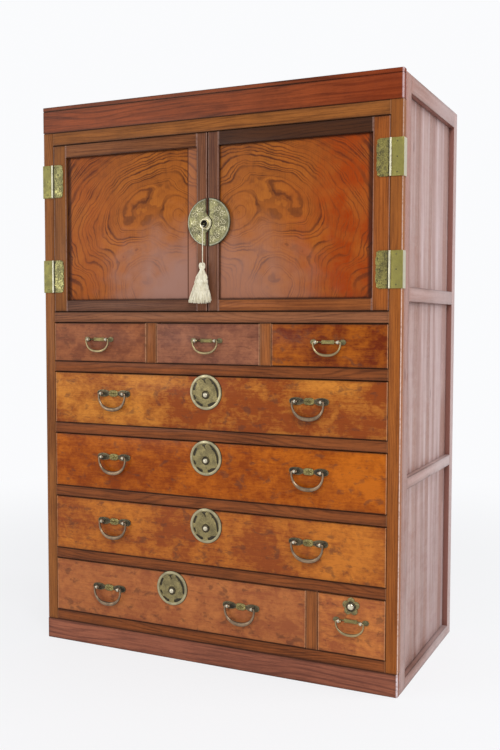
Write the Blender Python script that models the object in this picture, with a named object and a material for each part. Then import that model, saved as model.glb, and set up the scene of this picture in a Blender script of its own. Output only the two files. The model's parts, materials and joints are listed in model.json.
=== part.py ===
"""Tansu chest of drawers: a framed case with two doors over eight drawers.

X runs to the right as seen from the front, Y to the back and Z up, in metres.
The origin is the middle of the whole piece, fittings included, on the floor.
"""
from math import acos, cos, pi, radians, sin, tau

import bmesh
import bpy
from mathutils import Vector

for leftover in list(bpy.data.objects):
    bpy.data.objects.remove(leftover)

# Case
WIDTH = 0.910
DEPTH = 0.475
SEAT_GAP = 0.0003
RUN_GAP = 0.0015

# Heights up the front, from the floor
PLINTH_HEIGHT = 0.050
RAIL_HEIGHT = 0.0255
BOTTOM_OPENING = 0.132
LOWER_OPENING = 0.132
MIDDLE_OPENING = 0.132
UPPER_OPENING = 0.1265
SMALL_OPENING = 0.0955
DOOR_OPENING = 0.4055
HEAD_RAIL_HEIGHT = 0.0305
FRIEZE_HEIGHT = 0.053
LIP_HEIGHT = 0.010

# Boards and posts of the case
POST_WIDTH = 0.027
FRONT_POST_DEPTH = 0.056
BACK_POST_DEPTH = 0.030
FACE_BOARD = 0.018
FACE_PROUD = 0.0015
LIP_RISE = 0.004
RAIL_DEPTH = 0.024
FLOOR_BOARD = 0.008
TOP_BOARD = 0.012
BACK_BOARD = 0.009
SIDE_RAIL_THICKNESS = 0.013
SIDE_BOARD = 0.009
SIDE_TOP_RAIL = 0.038
SIDE_UPPER_RAIL = 0.032
SIDE_LOWER_RAIL = 0.0255
SIDE_BOTTOM_RAIL = 0.025
SIDE_UPPER_LEVEL = 0.8414
SIDE_LOWER_LEVEL = 0.4385

# Uprights between drawers
DIVIDER_WIDTH = 0.0265
PARTITION = 0.010
GUIDE_HEIGHT = 0.010
LEFT_DIVIDER_OFFSET = 0.150
RIGHT_DIVIDER_OFFSET = 0.145
BOTTOM_DIVIDER_OFFSET = 0.2588

# Doors
DOOR_THICKNESS = 0.020
DOOR_MEETING_GAP = 0.004
HINGE_STILE = 0.0365
MEETING_STILE = 0.0255
DOOR_TOP_RAIL = 0.030
DOOR_BOTTOM_RAIL = 0.0265
DOOR_PANEL = 0.008
DOOR_PANEL_RECESS = 0.006
GROOVE_DEPTH = 0.006

# Hinges
HINGE_HEIGHT = 0.079
HINGE_INSET = 0.087
LEAF_THICKNESS = 0.0016
DOOR_LEAF_WIDTH = 0.031
LEAF_WRAP = 0.020
KNUCKLE_RADIUS = 0.0023
KNUCKLE_LENGTH = 0.020
HINGE_PIN_RADIUS = 0.0011
HINGE_BORE_GAP = 0.0003

# Drawers
DRAWER_FRONT = 0.018
DRAWER_WALL = 0.010
DRAWER_BOTTOM = 0.006
DRAWER_BOTTOM_LIFT = 0.003
DRAWER_DEPTH = 0.430
DRAWER_SIDE_DROP = 0.006
DRAWER_LIFT = 0.001

# Bail handles
PIVOT_REACH = 0.010
EYE_RADIUS = 0.0042
EYE_BORE = 0.0026
EYE_THICKNESS = 0.0045
EYE_NECK = 0.0052
EYE_ROOT = 0.004
PIN_RADIUS = 0.0020
PIN_HEAD_RADIUS = 0.0031
PLATE_THICKNESS = 0.0018
PLATE_SINK = 0.0005
PLATE_CHAMFER = 0.0006
ROSETTE_PROUD = 0.0034
ROSETTE_CHAMFER = 0.0010

# Round lock plates and their push buttons
LOCK_PLATE_RADIUS = 0.0405
LOCK_PLATE_DROP = 0.038
LOCK_PAD_MARGIN = 0.006
LOCK_RIM_WIDTH = 0.003
LOCK_RIM_RAISE = 0.0006
LOCK_PLATE_THICKNESS = 0.0016
BUTTON_DROP = 0.006
BUTTON_RADIUS = 0.006
BUTTON_GAP = 0.0004
BUTTON_PROUD = 0.0075
BUTTON_STEM = 0.005
BUTTON_TRAVEL = 0.0025
BUTTON_BORE_DEPTH = BUTTON_STEM + 2 * BUTTON_TRAVEL
COLLAR_RADIUS = 0.010
COLLAR_PROUD = 0.004
FLOWER_RADIUS = 0.020
FLOWER_PETALS = 5
FLOWER_VALLEY_SHARE = 0.72
FLOWER_BUTTON_RADIUS = 0.0075

# Door lock
DOOR_LOCK_RADIUS = 0.0535
DOOR_LOCK_OFFSET = 0.004
DOOR_LOCK_LEFT_CHORD = 0.004
DOOR_LOCK_RIGHT_CHORD = 0.0058
LOCK_NOTCH_DEPTH = 0.0075
LOCK_NOTCH_SPAN = 0.036
BOSS_RADIUS = 0.0075
BOSS_BORE = 0.0056
BOSS_OFFSET = 0.0095
BOSS_DROP = 0.006
BOSS_HEIGHT = 0.0045
BOSS_FLOOR = 0.0012
KEY_PIN_RADIUS = 0.0018
KEY_PIN_HEIGHT = 0.0045

# Cord and tassel
CORD_RADIUS = 0.001
CORD_LENGTH = 0.083
CORD_BEND_REACH = 0.0026
KNOT_RADIUS = 0.0072
TASSEL_LENGTH = 0.093
TASSEL_BELL_WIDTH = 0.030
TASSEL_BAND_WIDTH = 0.033
TASSEL_SKIRT_WIDTH = 0.058
TASSEL_THICKNESS_SHARE = 0.36
TASSEL_FLUTE_SHARE = 0.035

# Roundness
ROUND_SIDES = 26
NOTCH_STEPS = 6
CORD_BEND_STEPS = 5
CORD_HANG_STEPS = 11
TASSEL_FLUTES = 12
BUTTON_SIDES = 14
KNUCKLE_SIDES = 10
EYE_SIDES = 8
FLOWER_SIDES = 40
BAIL_SIDES = 8
GRID_DIGITS = 7
SHARP_ANGLE = radians(35)

CASE_HEIGHT = (PLINTH_HEIGHT + 6 * RAIL_HEIGHT + BOTTOM_OPENING + LOWER_OPENING + MIDDLE_OPENING
               + UPPER_OPENING + SMALL_OPENING + DOOR_OPENING + HEAD_RAIL_HEIGHT + FRIEZE_HEIGHT
               + LIP_HEIGHT)
SIDE_HEIGHT = CASE_HEIGHT - LIP_RISE
FRONT_REACH = PIVOT_REACH + EYE_RADIUS
FACE = (FRONT_REACH - DEPTH) / 2
BACK = FACE + DEPTH
INNER_WIDTH = WIDTH - 2 * POST_WIDTH
BAY = (-INNER_WIDTH / 2, INNER_WIDTH / 2)

ROWS = (
    ("bottom", "bottom_board", BOTTOM_OPENING),
    ("lower", "lower_drawer_floor", LOWER_OPENING),
    ("middle", "middle_drawer_floor", MIDDLE_OPENING),
    ("upper", "upper_drawer_floor", UPPER_OPENING),
    ("small", "small_drawer_floor", SMALL_OPENING),
    ("doors", "compartment_floor", DOOR_OPENING),
)

# Base colour, roughness and metallic value of each finish
TONES = {
    "drawer_wood": ((0.42, 0.125, 0.030), 0.38, 0.0),
    "rail_wood": ((0.17, 0.062, 0.030), 0.42, 0.0),
    "frieze_wood": ((0.24, 0.045, 0.020), 0.36, 0.0),
    "panel_wood": ((0.36, 0.090, 0.022), 0.36, 0.0),
    "side_wood": ((0.34, 0.200, 0.150), 0.62, 0.0),
    "inner_wood": ((0.52, 0.380, 0.230), 0.70, 0.0),
    "brass": ((0.36, 0.290, 0.120), 0.36, 0.9),
    "bronze": ((0.30, 0.190, 0.110), 0.34, 0.9),
    "silk": ((0.80, 0.740, 0.580), 0.75, 0.0),
}


def finish(name, tone):
    """A material of one of the tones, under the name of the piece it is for."""
    colour, roughness, metallic = TONES[tone]
    material = bpy.data.materials.new(name)
    material.use_nodes = True
    surface = material.node_tree.nodes["Principled BSDF"]
    surface.inputs["Base Color"].default_value = (*colour, 1)
    surface.inputs["Roughness"].default_value = roughness
    surface.inputs["Metallic"].default_value = metallic
    return material


def add_empty(name, origin):
    """A bare axis that moving pieces are parented to."""
    empty = bpy.data.objects.new(name, None)
    empty.location = origin
    bpy.context.scene.collection.objects.link(empty)
    return empty


def add_object(name, shape, tone, origin=(0, 0, 0), parent=None):
    """An object from a shape in the chest's own frame, with its origin where it is told."""
    mesh = bpy.data.meshes.new(name)
    bmesh.ops.translate(shape, verts=shape.verts, vec=-Vector(origin))
    shape.to_mesh(mesh)
    shape.free()
    mesh.shade_smooth()
    mesh.set_sharp_from_angle(angle=SHARP_ANGLE)
    mesh.materials.append(finish(name, tone))
    piece = bpy.data.objects.new(name, mesh)
    piece.location = origin
    if parent:
        piece.parent = parent
        piece.location = Vector(origin) - parent.location
    bpy.context.scene.collection.objects.link(piece)
    return piece


def combine(target, label, operation, shape, tone):
    """Join a shape to a piece, or cut it out of it, with a hidden operand."""
    origin = target.location + (target.parent.location if target.parent else Vector())
    operand = add_object(f"{target.name}_{label}", shape, tone, origin, target.parent)
    operand.hide_render = True
    operand.display_type = "WIRE"
    modifier = target.modifiers.new(label, "BOOLEAN")
    modifier.operation = operation
    modifier.solver = "EXACT"
    modifier.material_mode = "TRANSFER"
    modifier.object = operand


def box(x_span, y_span, z_span):
    """The two end corners of a box."""
    return tuple(zip(x_span, y_span, z_span))


def block_mesh(solids, cuts=()):
    """One closed skin round a set of boxes, less the boxes cut away."""
    def rounded(corners):
        return [[round(value, GRID_DIGITS) for value in corner] for corner in corners]

    def inside(point, corners):
        return all(low < value < high for value, low, high in zip(point, *corners))

    solids = [rounded(corners) for corners in solids]
    cuts = [rounded(corners) for corners in cuts]
    grid = [sorted({corner[axis] for corners in solids + cuts for corner in corners}) for axis in range(3)]
    counts = [len(values) - 1 for values in grid]
    cells = set()
    for i in range(counts[0]):
        for j in range(counts[1]):
            for k in range(counts[2]):
                middle = [(grid[axis][step] + grid[axis][step + 1]) / 2
                          for axis, step in enumerate((i, j, k))]
                if any(inside(middle, solid) for solid in solids):
                    if not any(inside(middle, cut) for cut in cuts):
                        cells.add((i, j, k))
    shape = bmesh.new()
    corners = {}
    for cell in sorted(cells):
        for axis in range(3):
            for step in (0, 1):
                neighbour = list(cell)
                neighbour[axis] += 2 * step - 1
                if tuple(neighbour) in cells:
                    continue
                ring = []
                for a, b in ((0, 0), (1, 0), (1, 1), (0, 1)):
                    key = list(cell)
                    key[axis] += step
                    key[(axis + 1) % 3] += a
                    key[(axis + 2) % 3] += b
                    key = tuple(key)
                    if key not in corners:
                        corners[key] = shape.verts.new([grid[n][key[n]] for n in range(3)])
                    ring.append(corners[key])
                shape.faces.new(ring if step else ring[::-1])
    shape.normal_update()
    bmesh.ops.dissolve_limit(shape, angle_limit=radians(1), verts=shape.verts, edges=shape.edges)
    return shape


def loft(rings, closed=False):
    """A skin over rings of equal point counts, capped at its ends or closed on itself."""
    shape = bmesh.new()
    rows = [[shape.verts.new(point) for point in ring] for ring in rings]
    pairs = list(zip(rows, rows[1:]))
    if closed:
        pairs.append((rows[-1], rows[0]))
    for lower, upper in pairs:
        for index in range(len(lower)):
            following = (index + 1) % len(lower)
            shape.faces.new((lower[index], lower[following], upper[following], upper[index]))
    if not closed:
        shape.faces.new(rows[0])
        shape.faces.new(rows[-1])
    bmesh.ops.recalc_face_normals(shape, faces=shape.faces)
    return shape


def turned(profile, centre, axis, sides, closed=False):
    """A turned shape from (distance along the axis, radius) pairs."""
    rings = []
    for along, radius in profile:
        ring = []
        for step in range(sides):
            turn = tau * step / sides
            point = Vector(centre)
            point[axis] += along
            point[(axis + 1) % 3] += radius * cos(turn)
            point[(axis + 2) % 3] += radius * sin(turn)
            ring.append(point)
        rings.append(ring)
    return loft(rings, closed)


def plate(outline, layers, y_face):
    """A plate on a face that looks to the front.

    The outline gives (x, z) points for an inset; the layers are (distance in front of
    the face, inset) pairs from the back of the plate to its front.
    """
    rings = []
    for reach, inset in layers:
        rings.append([(x, y_face - reach, z) for x, z in outline(inset)])
    return loft(rings)


def gather(shapes):
    """Separate closed shapes as one set, for one Boolean operand."""
    whole = bmesh.new()
    for shape in shapes:
        mesh = bpy.data.meshes.new("gathered")
        shape.to_mesh(mesh)
        shape.free()
        whole.from_mesh(mesh)
        bpy.data.meshes.remove(mesh)
    return whole


def row_levels():
    """Floor rail span and opening span of each row, from the plinth up."""
    rails = {}
    openings = {}
    level = PLINTH_HEIGHT
    for row, floor, opening in ROWS:
        rails[floor] = (level, level + RAIL_HEIGHT)
        openings[row] = (level + RAIL_HEIGHT, level + RAIL_HEIGHT + opening)
        level += RAIL_HEIGHT + opening
    return rails, openings, level


RAILS, OPENINGS, HEAD_LEVEL = row_levels()
FRIEZE_LEVEL = HEAD_LEVEL + HEAD_RAIL_HEIGHT
LIP_LEVEL = FRIEZE_LEVEL + FRIEZE_HEIGHT
TOP_UNDERSIDE = SIDE_HEIGHT - TOP_BOARD


def across(side, outer, inner):
    """X span between two depths in from one side of the case; side is -1 or 1."""
    return tuple(sorted((side * (WIDTH / 2 - outer), side * (WIDTH / 2 - inner))))


def behind(near, far):
    """Y span between two depths behind the front face."""
    return (FACE + near, FACE + far)


def side_frame(name, side):
    """Posts and rails of one side, with seats for the frieze, plinth and top board."""
    whole = (0, SIDE_HEIGHT)
    shoulder = (0, TOP_UNDERSIDE - SEAT_GAP)
    skin = across(side, 0, SIDE_RAIL_THICKNESS)
    core = across(side, SIDE_RAIL_THICKNESS, POST_WIDTH)
    front = behind(0, FRONT_POST_DEPTH)
    back = behind(DEPTH - BACK_POST_DEPTH, DEPTH)
    between = behind(FRONT_POST_DEPTH, DEPTH - BACK_POST_DEPTH)
    rails = (
        (0, SIDE_BOTTOM_RAIL),
        (SIDE_LOWER_LEVEL, SIDE_LOWER_LEVEL + SIDE_LOWER_RAIL),
        (SIDE_UPPER_LEVEL, SIDE_UPPER_LEVEL + SIDE_UPPER_RAIL),
        (SIDE_HEIGHT - SIDE_TOP_RAIL, SIDE_HEIGHT),
    )
    solids = [box(skin, front, whole), box(core, front, shoulder),
              box(skin, back, whole), box(core, back, shoulder)]
    solids += [box(skin, between, span) for span in rails]
    seat = behind(0, FACE_BOARD + SEAT_GAP)
    post = across(side, 0, POST_WIDTH)
    cuts = [box(post, seat, (FRIEZE_LEVEL, SIDE_HEIGHT)),
            box(post, seat, (0, PLINTH_HEIGHT + SEAT_GAP))]
    add_object(name, block_mesh(solids, cuts), "side_wood")


def side_panel(name, side):
    """Thin boards behind the side rails, between the posts."""
    outer = SIDE_RAIL_THICKNESS + SEAT_GAP
    span = behind(FRONT_POST_DEPTH + SEAT_GAP, DEPTH - BACK_POST_DEPTH - SEAT_GAP)
    shape = block_mesh([box(across(side, outer, outer + SIDE_BOARD), span,
                            (0, TOP_UNDERSIDE - SEAT_GAP))])
    add_object(name, shape, "side_wood")


def floor_with_rail(name, rail):
    """A front rail with the board behind it that the drawers above run on."""
    bay = (BAY[0] + SEAT_GAP, BAY[1] - SEAT_GAP)
    bottom, top = rail
    bottom += SEAT_GAP
    shape = block_mesh([
        box(bay, behind(0, RAIL_DEPTH), (bottom, top)),
        box(bay, behind(0, DEPTH - BACK_BOARD - SEAT_GAP), (top - FLOOR_BOARD, top)),
    ])
    add_object(name, shape, "rail_wood")


def divider(name, centre, row, rail_above):
    """An upright between drawers: stile, thin partition and guide strips at its foot."""
    low, high = OPENINGS[row]
    low += SEAT_GAP
    stile = (centre - DIVIDER_WIDTH / 2, centre + DIVIDER_WIDTH / 2)
    board = (centre - PARTITION / 2, centre + PARTITION / 2)
    end = DEPTH - BACK_BOARD - 2 * SEAT_GAP
    under_board = rail_above[1] - FLOOR_BOARD - SEAT_GAP
    shape = block_mesh([
        box(stile, behind(0, RAIL_DEPTH), (low, high)),
        box(board, behind(0, end), (low, high)),
        box(board, behind(RAIL_DEPTH + SEAT_GAP, end), (low, under_board)),
        box(stile, behind(0, end), (low, low + GUIDE_HEIGHT)),
    ])
    add_object(name, shape, "rail_wood")


def case():
    """Everything of the chest that stays still, apart from the hinge leaves."""
    whole_width = (-WIDTH / 2, WIDTH / 2)
    bay = (BAY[0] + SEAT_GAP, BAY[1] - SEAT_GAP)
    for name, side in (("left", -1), ("right", 1)):
        side_frame(f"{name}_side_frame", side)
        side_panel(f"{name}_side_panel", side)
    proud = behind(-FACE_PROUD, FACE_BOARD)
    add_object("plinth_board", block_mesh([box(whole_width, proud, (0, PLINTH_HEIGHT))]), "frieze_wood")
    frieze = box(whole_width, proud, (FRIEZE_LEVEL + SEAT_GAP, LIP_LEVEL))
    add_object("frieze_board", block_mesh([frieze]), "frieze_wood")
    head = box(bay, behind(0, RAIL_DEPTH), (HEAD_LEVEL, FRIEZE_LEVEL))
    add_object("door_head_rail", block_mesh([head]), "rail_wood")
    half = WIDTH / 2 - SIDE_RAIL_THICKNESS - SEAT_GAP
    top = block_mesh([
        box(whole_width, proud, (LIP_LEVEL + SEAT_GAP, CASE_HEIGHT)),
        box((-half, half), behind(FACE_BOARD, DEPTH), (TOP_UNDERSIDE, SIDE_HEIGHT)),
    ])
    add_object("top_board", top, "frieze_wood")
    back = box(bay, (BACK - BACK_BOARD, BACK), (SIDE_BOTTOM_RAIL, TOP_UNDERSIDE - SEAT_GAP))
    add_object("back_panel", block_mesh([back]), "inner_wood")
    for floor, rail in RAILS.items():
        floor_with_rail(floor, rail)
    divider("small_divider_left", -LEFT_DIVIDER_OFFSET, "small", RAILS["compartment_floor"])
    divider("small_divider_right", RIGHT_DIVIDER_OFFSET, "small", RAILS["compartment_floor"])
    divider("bottom_divider", BOTTOM_DIVIDER_OFFSET, "bottom", RAILS["lower_drawer_floor"])


# Plate outlines, as shares of half the length and half the height, for one quarter
LONG_PLATE_SHARES = ((0.24, 0.55), (0.33, 0.80), (0.46, 1.0), (0.91, 1.0), (0.98, 0.80), (1.0, 0.36))
SLIM_PLATE_SHARES = ((0.32, 0.42), (0.36, 0.28), (0.62, 0.28), (0.68, 0.74), (0.78, 1.0),
                     (0.90, 0.94), (0.97, 0.62), (1.0, 0.24))
# Outline of the raised rosette or cartouche on the middle of a plate, for one quarter
ROSETTE_SHARES = ((0.62, 1.0), (1.0, 0.62))

# Bail handles: half span of the pivots, half sizes of the plate and rosette, drop, radii
HANDLES = {
    "long": dict(arm=0.0370, eye=0.0305, head=0.0245, half_length=0.0465, half_height=0.0085,
                 shares=LONG_PLATE_SHARES, rosette=(0.0094, 0.0080), drop=0.0385,
                 arm_radius=0.0022, grip=0.0040, grip_depth=0.0032),
    "slim": dict(arm=0.0315, eye=0.0255, head=0.0200, half_length=0.0420, half_height=0.0072,
                 shares=SLIM_PLATE_SHARES, rosette=(0.0135, 0.0038), drop=0.0285,
                 arm_radius=0.0020, grip=0.0030, grip_depth=0.0027),
}
BAIL_STEPS = 8
BAIL_SQUARENESS = 2.5
PETAL_ROUNDNESS = 0.7


def mirrored_plate(shares, half_length, half_height, x, z, proud, chamfer):
    """A plate with a chamfered edge, alike on its four quarters."""
    def outline(inset):
        quarter = [(along * (half_length - inset), up * (half_height - inset)) for along, up in shares]
        right = quarter + [(a, -b) for a, b in quarter[::-1]]
        left = [(-a, b) for a, b in right[::-1]]
        return [(x + a, z + b) for a, b in right + left]

    return plate(outline, ((-PLATE_SINK, 0), (proud - chamfer, 0), (proud, chamfer)), FACE)


def handle_plate(kind, x, z):
    """The long backplate of a bail handle."""
    size = HANDLES[kind]
    return mirrored_plate(size["shares"], size["half_length"], size["half_height"], x, z,
                          PLATE_THICKNESS, PLATE_CHAMFER)


def rosette(kind, x, z):
    """The raised rosette or cartouche in the middle of a backplate."""
    return mirrored_plate(ROSETTE_SHARES, *HANDLES[kind]["rosette"], x, z, ROSETTE_PROUD, ROSETTE_CHAMFER)


def eye_post(x, z):
    """A post in the drawer front that ends in a round eye, with its bore along X."""
    rings = []
    neck_end = PIVOT_REACH + EYE_ROOT
    root = (EYE_RADIUS ** 2 - (EYE_NECK / 2) ** 2) ** 0.5
    for half in (-EYE_THICKNESS / 2, EYE_THICKNESS / 2):
        outer = []
        bore = []
        for step in range(EYE_SIDES):
            turn = tau * (step + 0.5) / EYE_SIDES
            toward, up = cos(turn), sin(turn)
            bore.append((x + half, FACE - PIVOT_REACH + EYE_BORE * toward, z + EYE_BORE * up))
            if toward > 0:
                side = EYE_NECK / 2 * (1 if up > 0 else -1)
                reach = neck_end if toward > cos(pi / 4) else root
                outer.append((x + half, FACE - PIVOT_REACH + reach, z + side))
            else:
                outer.append((x + half, FACE - PIVOT_REACH + EYE_RADIUS * toward, z + EYE_RADIUS * up))
        rings += [outer, bore] if half < 0 else [bore, outer]
    return loft(rings, closed=True)


def bail(name, kind, x, z, parent):
    """A swinging bail: round heads inside the eyes, pins, arms and a swollen grip."""
    size = HANDLES[kind]
    arm, drop, head = size["arm"], size["drop"], size["head"]
    pivot = Vector((x, FACE - PIVOT_REACH, z))
    bend = size["arm_radius"] * 1.2
    steps = [(-head, 0, PIN_HEAD_RADIUS * 0.5), (-head - PIN_HEAD_RADIUS * 0.5, 0, PIN_HEAD_RADIUS),
             (-head - PIN_HEAD_RADIUS * 1.2, 0, PIN_RADIUS), (-arm + bend, 0, PIN_RADIUS),
             (-arm + bend * 0.25, -bend * 0.25, size["arm_radius"])]
    route = [(Vector((a, 0, b)), radius, radius) for a, b, radius in steps]
    for step in range(1, BAIL_STEPS):
        turn = pi * step / BAIL_STEPS
        power = 2 / BAIL_SQUARENESS
        sideways = -arm * abs(cos(turn)) ** power * (1 if cos(turn) >= 0 else -1)
        down = -drop * sin(turn) ** power
        swell = sin(turn) ** 2
        wide = size["arm_radius"] + (size["grip"] - size["arm_radius"]) * swell
        deep = size["arm_radius"] + (size["grip_depth"] - size["arm_radius"]) * swell
        route.append((Vector((sideways, 0, down)), wide, deep))
    route += [(Vector((-point.x, 0, point.z)), wide, deep) for point, wide, deep in route[len(steps) - 1::-1]]
    rings = []
    last = len(route) - 1
    for index, (point, wide, deep) in enumerate(route):
        along = (route[min(index + 1, last)][0] - route[max(index - 1, 0)][0]).normalized()
        normal = Vector((-along.z, 0, along.x))
        ring = []
        for step in range(BAIL_SIDES):
            turn = tau * (step + 0.5) / BAIL_SIDES
            ring.append(pivot + point + normal * (wide * cos(turn)) + Vector((0, deep * sin(turn), 0)))
        rings.append(ring)
    add_object(name, loft(rings), "bronze", pivot, parent)


def round_plate(x, z):
    """A round lock plate with a raised rim, seated on a smaller pad in the wood.

    Its top laps over the rail above the drawer, so only the pad goes into the front.
    """
    def outline(inset):
        radius = LOCK_PLATE_RADIUS - inset
        return [(x + radius * sin(tau * step / ROUND_SIDES), z + radius * cos(tau * step / ROUND_SIDES))
                for step in range(ROUND_SIDES)]

    front = SEAT_GAP + LOCK_PLATE_THICKNESS
    layers = ((-PLATE_SINK, LOCK_PAD_MARGIN), (SEAT_GAP, LOCK_PAD_MARGIN), (SEAT_GAP, 0),
              (front + LOCK_RIM_RAISE, 0), (front + LOCK_RIM_RAISE, LOCK_RIM_WIDTH * 0.8),
              (front, LOCK_RIM_WIDTH))
    return plate(outline, layers, FACE)


# Slots pierced in the round plate: start and end in shares of a turn clockwise from the
# top, inner and outer edge in shares of the plate's radius, and steps along the arc
LOCK_SLOT_SHARES = (
    (0.03, 0.30, 0.70, 0.81, 4),
    (0.36, 0.465, 0.66, 0.81, 2),
    (0.535, 0.635, 0.66, 0.81, 2),
    (0.66, 0.715, 0.71, 0.82, 1),
    (0.77, 0.87, 0.73, 0.82, 2),
    (0.945, 1.005, 0.62, 0.80, 1),
)


def plate_slots(x, z):
    """The slots of a round lock plate, cut through it to the wood."""
    slots = []
    for start, end, inner, outer, steps in LOCK_SLOT_SHARES:
        def outline(inset):
            points = []
            for share, turns in ((outer, range(steps + 1)), (inner, range(steps, -1, -1))):
                radius = LOCK_PLATE_RADIUS * share - inset
                for step in turns:
                    turn = tau * (start + (end - start) * step / steps)
                    points.append((x + radius * sin(turn), z + radius * cos(turn)))
            return points

        slots.append(plate(outline, ((-PLATE_SINK, 0), (FRONT_REACH, 0)), FACE))
    return gather(slots)


def flower_plate(x, z):
    """A small plate with five round petals, one of them straight up."""
    def outline(inset):
        points = []
        for step in range(FLOWER_SIDES):
            turn = tau * step / FLOWER_SIDES
            petal = abs(cos(FLOWER_PETALS / 2 * turn)) ** PETAL_ROUNDNESS
            radius = (FLOWER_RADIUS - inset) * (FLOWER_VALLEY_SHARE + (1 - FLOWER_VALLEY_SHARE) * petal)
            points.append((x + radius * sin(turn), z + radius * cos(turn)))
        return points

    layers = ((-PLATE_SINK, 0), (PLATE_THICKNESS - PLATE_CHAMFER, 0), (PLATE_THICKNESS, PLATE_CHAMFER))
    return plate(outline, layers, FACE)


def push_button(name, x, z, radius, parent):
    """A domed button in the bore of its drawer front, pressed to open the lock."""
    profile = ((-BUTTON_PROUD, radius * 0.45), (-BUTTON_PROUD + radius * 0.12, radius * 0.8),
               (-BUTTON_PROUD + radius * 0.35, radius), (BUTTON_STEM, radius))
    shape = turned(profile, (x, FACE, z), 1, BUTTON_SIDES)
    add_object(name, shape, "bronze", (x, FACE, z), parent)


# Each drawer: row, span in X, shares of its width and height for the handles, handle kind,
# and the share of its width for a lock plate; the small bottom drawer has a flower plate
WIDE_HANDLE_SHARES = ((0.202, 0.61), (0.792, 0.61))
BOTTOM_HANDLE_SHARES = ((0.233, 0.557), (0.763, 0.557))
SMALL_HANDLE_SHARES = ((0.5, 0.576),)
CORNER_HANDLE_SHARES = ((0.5, 0.58),)
LOCK_WIDTH_SHARE = 0.495
FLOWER_HEIGHT_SHARE = 0.825
HALF_DIVIDER = DIVIDER_WIDTH / 2
DRAWERS = (
    ("left_small_drawer", "small", (BAY[0], -LEFT_DIVIDER_OFFSET - HALF_DIVIDER),
     SMALL_HANDLE_SHARES, "slim", None),
    ("centre_small_drawer", "small",
     (-LEFT_DIVIDER_OFFSET + HALF_DIVIDER, RIGHT_DIVIDER_OFFSET - HALF_DIVIDER),
     SMALL_HANDLE_SHARES, "slim", None),
    ("right_small_drawer", "small", (RIGHT_DIVIDER_OFFSET + HALF_DIVIDER, BAY[1]),
     SMALL_HANDLE_SHARES, "slim", None),
    ("upper_drawer", "upper", BAY, WIDE_HANDLE_SHARES, "long", "round"),
    ("middle_drawer", "middle", BAY, WIDE_HANDLE_SHARES, "long", "round"),
    ("lower_drawer", "lower", BAY, WIDE_HANDLE_SHARES, "long", "round"),
    ("bottom_wide_drawer", "bottom", (BAY[0], BOTTOM_DIVIDER_OFFSET - HALF_DIVIDER),
     BOTTOM_HANDLE_SHARES, "long", "round"),
    ("bottom_small_drawer", "bottom", (BOTTOM_DIVIDER_OFFSET + HALF_DIVIDER, BAY[1]),
     CORNER_HANDLE_SHARES, "slim", "flower"),
)


def drawer(name, row, span, handle_shares, kind, lock):
    """A drawer box with its front, fitted with backplates, eye posts and lock plate."""
    left, right = span
    floor, ceiling = OPENINGS[row]
    width = right - left
    x_span = (left + RUN_GAP, right - RUN_GAP)
    foot = floor + SEAT_GAP
    rim = ceiling - RUN_GAP - DRAWER_SIDE_DROP
    inner = (x_span[0] + DRAWER_WALL, x_span[1] - DRAWER_WALL)
    solids = [
        box(x_span, behind(0, DRAWER_FRONT), (floor + DRAWER_LIFT, ceiling - RUN_GAP)),
        box(x_span, behind(DRAWER_FRONT, DRAWER_DEPTH), (foot, rim)),
    ]
    hollow_y = behind(DRAWER_FRONT, DRAWER_DEPTH - DRAWER_WALL)
    base = foot + DRAWER_BOTTOM_LIFT
    cuts = [box(inner, hollow_y, (base + DRAWER_BOTTOM, ceiling)), box(inner, hollow_y, (floor, base))]
    origin = ((left + right) / 2, FACE, floor)
    body = add_object(name, block_mesh(solids, cuts), "drawer_wood", origin)
    body.data.materials[0].name = f"{name}_wood"

    handles = [(left + across_share * width, floor + up_share * (ceiling - floor))
               for across_share, up_share in handle_shares]
    plates = [handle_plate(kind, x, z) for x, z in handles]
    posts = [rosette(kind, x, z) for x, z in handles]
    for x, z in handles:
        posts += [eye_post(x + side * HANDLES[kind]["eye"], z) for side in (-1, 1)]
    button = None
    if lock == "round":
        x = left + LOCK_WIDTH_SHARE * width
        z = ceiling - LOCK_PLATE_DROP
        plates.append(round_plate(x, z))
        button = (x, z - BUTTON_DROP, BUTTON_RADIUS)
    elif lock == "flower":
        x = left + handle_shares[0][0] * width
        z = floor + FLOWER_HEIGHT_SHARE * (ceiling - floor)
        plates.append(flower_plate(x, z))
        button = (x, z, FLOWER_BUTTON_RADIUS)
    if button:
        x, z, radius = button
        collar = radius + COLLAR_RADIUS - BUTTON_RADIUS
        profile = ((0, collar), (-COLLAR_PROUD * 0.7, collar), (-COLLAR_PROUD, collar * 0.86))
        posts.append(turned(profile, (x, FACE, z), 1, BUTTON_SIDES))
    combine(body, "plates", "UNION", gather(plates), "brass")
    combine(body, "posts", "UNION", gather(posts), "brass")
    if button:
        bore = turned(((-FRONT_REACH, radius + BUTTON_GAP), (BUTTON_BORE_DEPTH, radius + BUTTON_GAP)),
                      (x, FACE, z), 1, BUTTON_SIDES)
        combine(body, "bore", "DIFFERENCE", bore, "brass")
    if lock == "round":
        combine(body, "slots", "DIFFERENCE", plate_slots(x, z + BUTTON_DROP), "drawer_wood")
    if button:
        push_button(f"{name}_button", x, z, radius, body)
    for index, (handle_x, handle_z) in enumerate(handles):
        suffix = "bail" if len(handles) == 1 else ("left_bail", "right_bail")[index]
        bail(f"{name}_{suffix}", kind, handle_x, handle_z, body)


LEAF_EDGE_SHARES = ((0.5, 0.80), (0.40, 0.94), (0.28, 0.94), (0.20, 1.0), (0.08, 0.93), (0.0, 1.0))


def hinge_levels():
    """Centre heights of the lower and the upper hinges."""
    low, high = OPENINGS["doors"]
    return {"lower": low + HINGE_INSET, "upper": high - HINGE_INSET}


HINGE_X = INNER_WIDTH / 2 + RUN_GAP / 4
HINGE_Y = FACE - SEAT_GAP - KNUCKLE_RADIUS


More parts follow.
